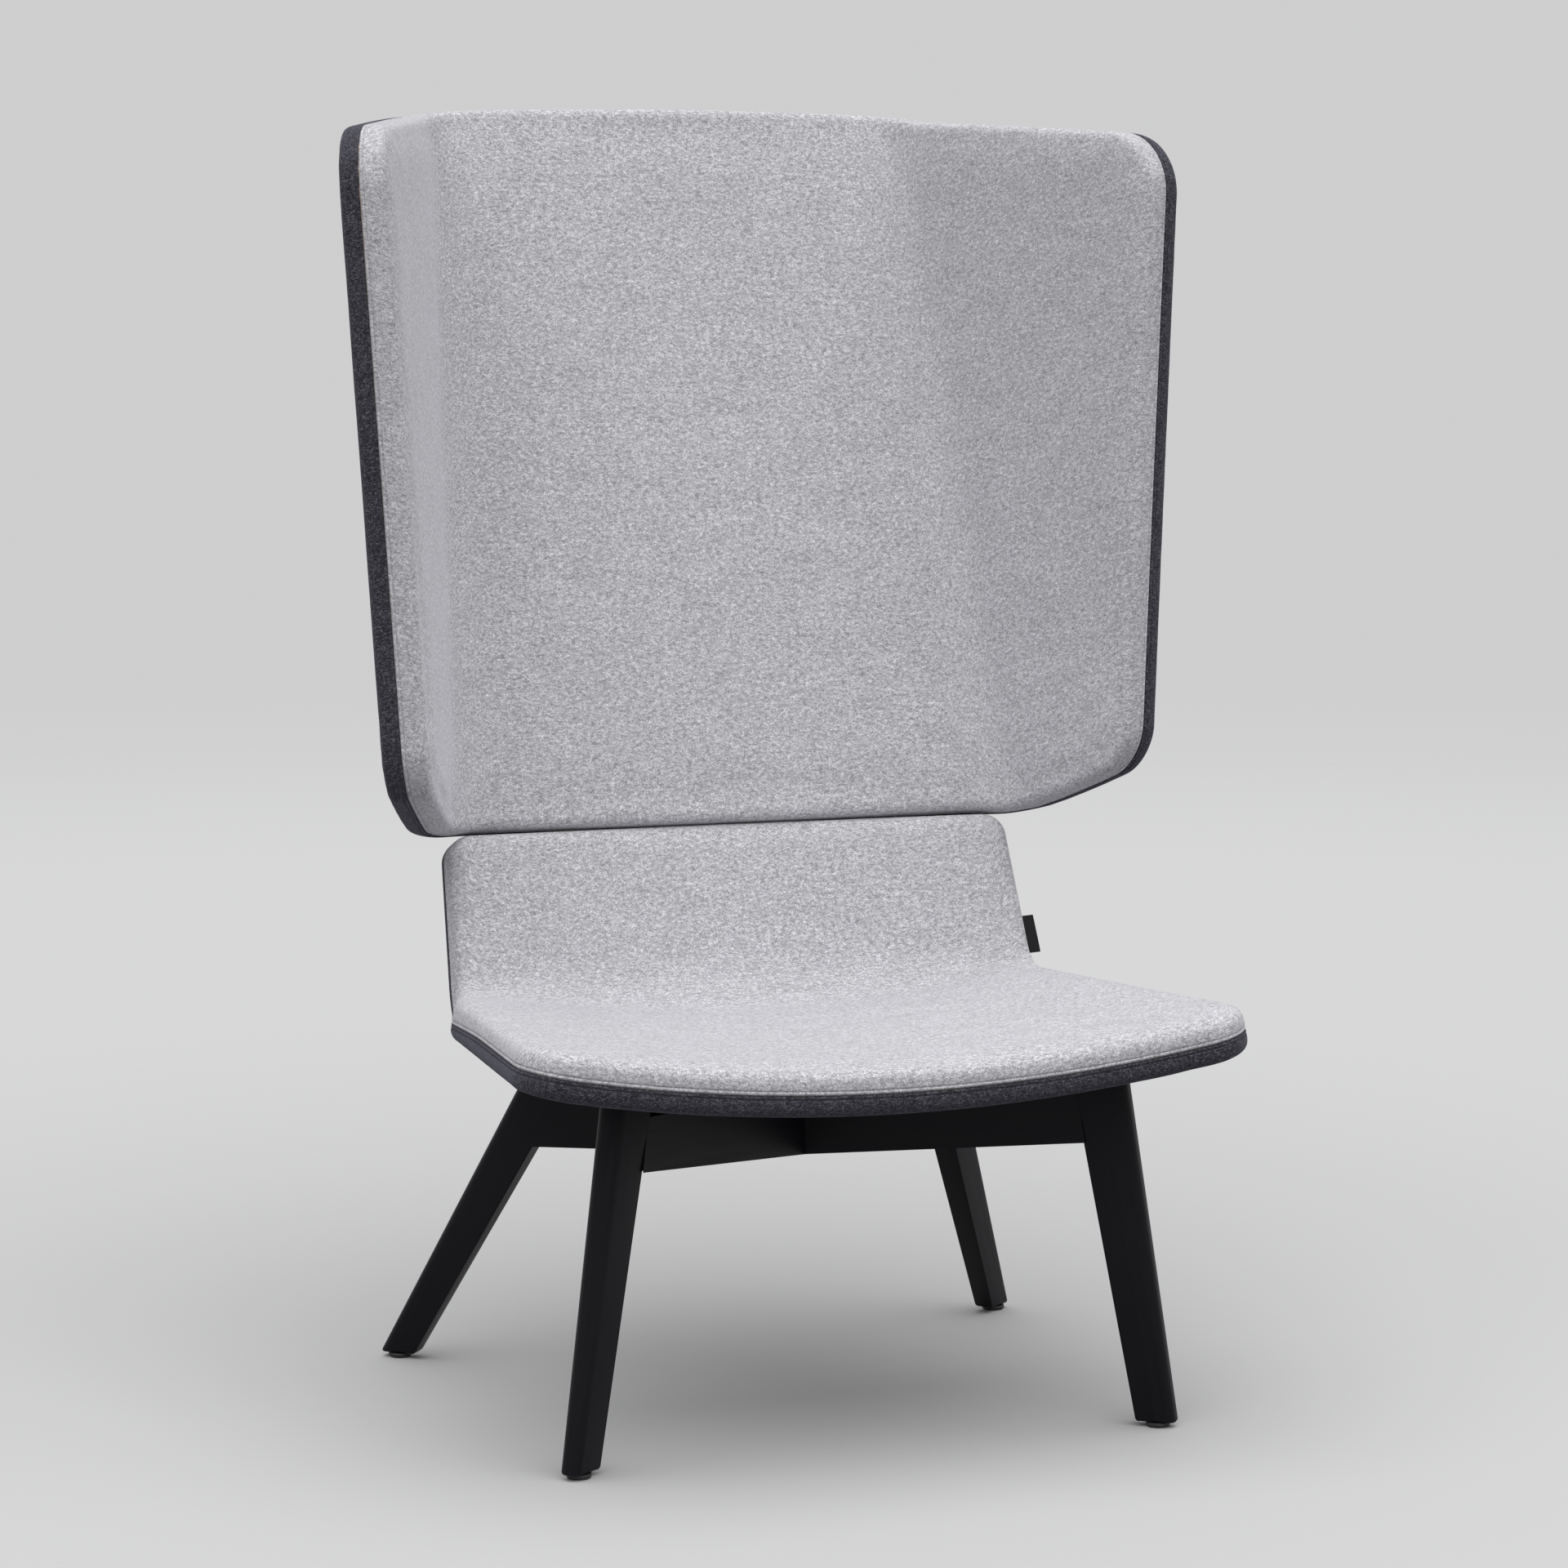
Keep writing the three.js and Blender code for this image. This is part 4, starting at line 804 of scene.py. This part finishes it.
def makeLeg(name, corner):
    form = baseForm
    headHeight = frameTop(corner["head"][1])
    foot, head = (*corner["foot"], form["footHeight"]), (*corner["head"], headHeight)
    taper = (form["footDepth"] / form["headDepth"], form["footWidth"] / form["headWidth"])
    across = np.array([(*corner["outward"], 0), (*corner["sideways"], 0)])
    mesh = lofted(name, [foot + legSection() * taper @ across, head + legSection() @ across])
    piece = addObject("wooden_" + name, mesh, finish["stainedWood"])
    foot = inFrame(foot)
    axis = Vector(inFrame(head)) - Vector(foot)
    axis /= (headHeight - form["footHeight"]) * mm
    for vertex in piece.data.vertices:
        if vertex.co.z < headHeight * mm - 1e-4:
            continue
        if name.startswith("leg_front"):
            # up to the seat's underside
            hit = seatUnder.ray_cast(vertex.co - axis * form["headSearch"] * mm, axis)[0]
            if hit is not None:
                vertex.co = hit - axis * form["gap"] * mm
        else:
            # level with the frame's sloping top
            over = frameTop((vertex.co.y - shiftY) / mm) * mm - vertex.co.z
            vertex.co += axis * (over / (1 - topSlope * axis.y))
    softenFoot(piece.data, (form["footHeight"] + form["footZone"]) * mm, form["footBevel"])
    bevel = piece.modifiers.new("rims", "BEVEL")
    bevel.width, bevel.segments = form["rimBevel"] * mm, 3
    bevel.limit_method, bevel.angle_limit = "ANGLE", math.radians(form["rimAngle"])
    smooth(baked(piece).data, 32)
    markWood(piece.data, foot, axis)
    declare(piece, "black_wood", name)


for cornerName, corner in corners.items():
    makeLeg("leg_" + cornerName, corner)
print("stage: legs")

beamForm = dict(
    thickness=28, underFront=288, underMiddle=255, underRear=245, bevel=1.3, lapGap=0.15,
    endDrop=4, boltReach=150, drillStart=6,
    # radius and depth for a head, then radius and depth for its shank
    boltHole=(7.3, 14, 4.3, 150), lapHole=(5.3, 4.3, 2.8, 55),
)


def facePlane(corner):
    # how far from the crossing the flat inner face of a leg lies at a height
    form = baseForm
    rise = frameTop(corner["head"][1]) - form["footHeight"]
    low = corner["foot"] - corner["outward"] * form["footDepth"] / 2
    high = corner["head"] - corner["outward"] * form["headDepth"] / 2
    atFoot, atHead = ((place - crossing) @ corner["outward"] for place in (low, high))
    return lambda height: blendTo(atFoot, atHead, (height - form["footHeight"]) / rise) - form["gap"]


def insetRing(ring, inset):
    # a plane outline drawn in by an inset, its corners mitred
    before = unit(ring - np.roll(ring, 1, axis=0))
    after = unit(np.roll(ring, -1, axis=0) - ring)
    turn = np.array([[0, 1], [-1, 0]])
    inBefore, inAfter = before @ turn, after @ turn
    area = np.sum(ring[:, 0] * np.roll(ring[:, 1], -1) - np.roll(ring[:, 0], -1) * ring[:, 1])
    bisector = inBefore + inAfter
    bisector /= np.maximum(1 + np.sum(inBefore * inAfter, -1, keepdims=True), 0.2)
    return ring + bisector * inset * (-1 if area > 0 else 1)


def circle(spot, radius, height, sides):
    turns = np.arange(sides) * 2 * math.pi / sides
    return np.stack([spot[0] + radius * np.cos(turns), spot[1] + radius * np.sin(turns), np.full(sides, height)], 1)


def drill(spot, low, high, radius):
    return addObject("drill", lofted("drill", [circle(spot, radius, height, 32) for height in (low, high)]))


def makeBeam(name, front, rear, keepsLower):
    form = beamForm
    frontCorner, rearCorner = corners[front], corners[rear]
    frontFace, rearFace = facePlane(frontCorner), facePlane(rearCorner)
    way = rearCorner["outward"]
    side, other = np.array([way[1], -way[0]]), np.array([-way[0], way[1]])
    skew = (way @ other) / (side @ other)
    half, middleUnder = form["thickness"] / 2, form["underMiddle"]
    halfLap = (half + baseForm["gap"]) / abs(side @ other)
    lap = (middleUnder + frameTop(crossing[1])) / 2

    def under(s):
        end, run = ("underFront", frontCorner["run"]) if s < 0 else ("underRear", rearCorner["run"])
        return blendTo(middleUnder, form[end], abs(s) / run)

    def top(s):
        return frameTop(crossing[1] + way[1] * s)

    def outline(off):
        left, right = skew * off - halfLap, skew * off + halfLap
        frontLow, rearLow = -frontFace(form["underFront"] - form["endDrop"]), rearFace(form["underRear"])
        frontHigh, rearHigh = -frontFace(top(-frontCorner["run"])), rearFace(top(rearCorner["run"]))
        rearEnd = [(rearLow, under(rearLow)), (rearHigh, top(rearHigh))]
        if keepsLower:
            notch = lap - form["lapGap"]
            ring = [(0, middleUnder), *rearEnd, (right, top(right)), (right, notch), (left, notch), (left, top(left))]
        else:
            notch = lap + form["lapGap"]
            ring = [(left, under(left)), (left, notch), (right, notch), (right, under(right)), *rearEnd]
        return np.array([(frontLow, under(frontLow)), *ring, (frontHigh, top(frontHigh))], float)

    bevel = form["bevel"]
    rearEnds = [2, 3] if keepsLower else [5, 6]
    layers = [(-half, bevel), (-half + bevel * 0.3, bevel * 0.3), (-half + bevel, 0.0),
              (half - bevel, 0.0), (half - bevel * 0.3, bevel * 0.3), (half, bevel)]
    rings = []
    for off, inset in layers:
        # the ends stay square against the legs
        ring = insetRing(outline(off), inset)
        ring[[0, -1], 0] -= inset
        ring[rearEnds, 0] += inset
        rings.append([(*(crossing + way * s + side * off), z) for s, z in ring])
    mesh = lofted(name, rings)
    faceOut(mesh)
    piece = addObject(name, mesh, finish["stainedWood"])
    drills = []
    for reach, hole in ((-form["boltReach"], "boltHole"), (form["boltReach"], "boltHole"), (0, "lapHole")):
        low, (headRadius, headDepth, radius, depth) = under(reach), form[hole]
        spot = crossing + (frontCorner["outward"] * -reach if reach < 0 else way * reach)
        drills.append(drill(spot, low - form["drillStart"], low + headDepth, headRadius))
        drills.append(drill(spot, low, low + depth, radius))
    for tool in drills:
        cut = piece.modifiers.new("drill", "BOOLEAN")
        cut.operation = "DIFFERENCE"
        cut.solver = "EXACT"
        cut.object = tool
    baked(piece)
    for tool in drills:
        bpy.data.objects.remove(tool)
    dress(piece.data, finish["stainedWood"])
    smooth(piece.data, 28)
    markWood(piece.data, inFrame((*crossing, middleUnder)), (*way, 0.0))
    declare(piece, "black_wood", "cross_beam_" + front)


makeBeam("beam_front_left", "front_left", "rear_right", True)
makeBeam("beam_front_right", "front_right", "rear_left", False)
print("stage: beams")

glideForm = dict(
    sides=40,
    outline=[(9.6, 0), (10.6, 0.25), (11.4, 0.9), (11.85, 1.8), (12, 2.6), (12, 4.3), (11.7, 4.8),
                (11.2, 5), (2, 5), (2, 19.6), (1.4, 20.8)],
)
for cornerName, corner in corners.items():
    name = "glide_" + cornerName
    mesh = lofted(name, [circle(corner["foot"], radius, height, glideForm["sides"])
                         for radius, height in glideForm["outline"]])
    smooth(mesh, 40)
    declare(addObject("nailed_" + name, mesh, finish["plastic"]), "black_plastic", name)

boardForm = dict(front=204, rear=112, halfFront=248, halfRear=262, corner=62, run=26, rise=15,
             wrap=1.5, seatGap=0.5, rimGap=0.3, turnSteps=8, cornerSteps=8, straightStep=18)


def boardOutline(inset):
    # every inset has the same number of places, so that rings join up
    form = boardForm
    front, rear = -form["front"] + inset, form["rear"] - inset
    wideFront, wideRear = form["halfFront"] - inset, form["halfRear"] - inset
    places = np.array([(wideFront, front), (wideRear, rear), (-wideRear, rear), (-wideFront, front)], float)
    corner = form["corner"] - inset
    sideCounts = [int((form["rear"] + form["front"] - 2 * form["corner"]) / form["straightStep"]),
                  int(2 * (form["halfRear"] - form["corner"]) / form["straightStep"])] * 2
    points = []
    for k, place in enumerate(places):
        before, after = places[k - 1], places[(k + 1) % 4]
        arrive, leave = (blendTo(place, end, corner / np.hypot(*(end - place))) for end in (before, after))
        nextArrive = blendTo(after, place, corner / np.hypot(*(after - place)))
        for t in np.linspace(0, 1, form["cornerSteps"] + 1):
            points.append(blendTo(blendTo(arrive, place, t), blendTo(place, leave, t), t))
        for t in np.linspace(0, 1, sideCounts[k] + 2)[1:-1]:
            points.append(blendTo(leave, nextArrive, t))
    return points


def underSeat(x, y):
    hit = seatUnder.ray_cast(Vector(inFrame((x, y, 200))), Vector((0, 0, 1)))[0]
    return hit.z / mm if hit is not None else 400.0


def makeBoardWrap(name):
    form = boardForm
    rings = []
    for turn in np.linspace(0, math.pi / 2, form["turnSteps"] + 1):
        lift = baseForm["gap"] + form["rise"] * (1 - math.cos(turn))
        rings.append([(x, y, min(frameTop(y) + lift, underSeat(x, y) - form["seatGap"]))
                      for x, y in boardOutline(form["run"] * (1 - math.sin(turn)))])
    rings.append([(x, y, underSeat(x, y) - form["rimGap"]) for x, y in boardOutline(0)])
    mesh = lofted(name, rings, hasEnd=False)
    # the cloth lies flat below and runs up the sides from there
    columns = np.array(rings)
    sideways = unit(columns[-1, :, :2] - columns[0, :, :2])
    mapCloth(mesh, (columns[0, :, :2] + sideways * runAlong(columns)[..., None]).reshape(-1, 2))
    piece = addObject(name, mesh, finish["darkFelt"])
    wall = piece.modifiers.new("wall", "SOLIDIFY")
    wall.thickness = form["wrap"] * mm
    wall.offset = -1
    baked(piece)
    smooth(piece.data, 50)
    declare(piece, "dark_fabric", "seat_board_wrap")


makeBoardWrap("board_wrap")
print("stage: glides and board")

tagForm = dict(share=0.76, width=18, height=41, thickness=1.4, bow=0.35, steps=14,
           sewnIn=1.2, start=0.6, foldSteps=5, foldTurn=60)


def makeTag(name):
    # a folded ribbon with a round fold outside, sewn into the seam
    form = tagForm
    one, share = np.ones(1), np.full(1, form["share"])
    _, up, normal = (v[0] for v in slopes(seatPoint, one, share))
    up = unit(up)
    outward = unit(np.cross(up, normal))
    start = seatPoint(one, share)[0] + normal * float(seatSeam(share)[0])
    half = form["thickness"] / 2
    fold = form["width"] - half
    turns = np.radians(np.linspace(-form["foldTurn"], form["foldTurn"], form["foldSteps"]))
    section = [(-form["sewnIn"], -half), (fold, -half), *((fold + half * np.cos(t), half * np.sin(t)) for t in turns),
               (fold, half), (-form["sewnIn"], half)]
    rings, local = [], []
    for t in np.linspace(0, 1, form["steps"] + 1):
        rise = (t - 0.5) * form["height"]
        bow = form["bow"] * math.sin(t * math.pi * 1.4 + 0.4)
        rings.append([start + outward * (form["start"] + reach) + up * rise
                      + normal * (lift + bow * max(reach, 0) / form["width"]) for reach, lift in section])
        local += [(reach * mm, lift * mm, rise * mm) for reach, lift in section]
    mesh = lofted(name, rings)
    markPlaces(mesh, "ribbonPlace", local)
    faceOut(mesh)
    smooth(mesh, 40)
    declare(addObject(name, mesh, finish["ribbon"]), "tag", "side_tag")


makeTag("blank_tag")

# Nodes whose own shape is right keep it and get their finish
hiddenFinish = {
    "beech": "dowel_", "plywood": ("seat_board", "seat_plywood_shell", "shield_plywood_shell"),
    "steel": ("lap_screw", "seat_bolt_", "tee_nut_", "plate_screw_", "shield_plate_"),
}
for nodeName, node in nodes.items():
    for kind, starts in hiddenFinish.items():
        if nodeName.startswith(starts) and not node.hide_render:
            dress(node.data, finish[kind])
print("stage: hidden pieces")


# Floor, light and camera

studio = dict(
    floorColour=(0.5, 0.5, 0.503), bounceColour=(0.16, 0.16, 0.165), floorReach=9.0, floorSides=24,
    fadeStart=2.7, fadeEnd=8.55, backdrop=(0.62, 0.62, 0.622), skyStrength=0.42,
    skyColour=(0.98, 0.985, 1.0), sunStrength=3.15, sunWidth=90, sunRise=72, sunTurn=13,
    focal=105.97, cameraPlace=(-1522.0, -4344.8, 1146.9),
    back=(-0.32694, -0.93830, 0.11269), right=(0.94432, -0.32903, 0.0),
)


def seenDirectly(tree):
    path = put(tree, "LightPath").outputs
    seen = put(tree, "Math", {0: path["Is Camera Ray"], 1: path["Is Glossy Ray"]}, operation="MAXIMUM")
    return put(tree, "Math", {0: seen, 1: path["Is Transmission Ray"]}, operation="MAXIMUM")


def paleFloor(tree, look):
    # seen pale, but with no more bounce on the chair than a carpet gives
    away = put(tree, "VectorMath", {0: ownPlace(tree)}, operation="LENGTH").outputs["Value"]
    clear = put(tree, "MapRange", {"Value": away, "From Min": look["fadeStart"], "From Max": look["fadeEnd"]},
                interpolation_type="SMOOTHERSTEP")
    colour = mixColours(tree, seenDirectly(tree), look["bounceColour"], look["floorColour"])
    return {"Base Color": colour, "Roughness": 0.85, "Specular IOR Level": 0.2, "clear": clear}


def makeFloor():
    rim = circle((0, 0), studio["floorReach"], 0, studio["floorSides"])
    mesh = meshFrom("floor", rim, [range(len(rim))])
    addObject("floor", mesh, painted("pale_floor", paleFloor, studio))


def makeWorld():
    world = bpy.data.worlds.new("studio")
    scene.world = world
    world.use_nodes = True
    tree = world.node_tree
    tree.nodes.clear()
    pale = put(tree, "Background", {"Color": studio["backdrop"], "Strength": 1.0})
    sky = put(tree, "Background", {"Color": studio["skyColour"], "Strength": studio["skyStrength"]})
    both = put(tree, "MixShader", {0: seenDirectly(tree), 1: sky, 2: pale})
    put(tree, "OutputWorld", {"Surface": both})


def addSkylight():
    # one wide soft light high above the front, as a lit ceiling gives
    lamp = bpy.data.lights.new("ceiling_light", "SUN")
    lamp.energy = studio["sunStrength"]
    lamp.angle = math.radians(studio["sunWidth"])
    rise, turn = math.radians(studio["sunRise"]), math.radians(studio["sunTurn"])
    way = Vector((math.sin(-turn) * math.cos(rise), -math.cos(turn) * math.cos(rise), math.sin(rise)))
    addObject("ceiling_light", lamp).rotation_euler = way.to_track_quat("Z", "Y").to_euler()


def makeCamera():
    data = bpy.data.cameras.new("camera")
    data.lens = studio["focal"]
    data.sensor_width = 36
    data.sensor_fit = "HORIZONTAL"
    data.clip_end = 60
    body = addObject("camera", data)
    back, right = Vector(studio["back"]).normalized(), Vector(studio["right"]).normalized()
    turn = Matrix([right, back.cross(right), back]).transposed()
    body.matrix_world = Matrix.Translation(inFrame(studio["cameraPlace"])) @ turn.to_4x4()
    scene.camera = body


makeFloor()
makeWorld()
addSkylight()
makeCamera()
scene.view_settings.view_transform = "Standard"
print("stage: studio")
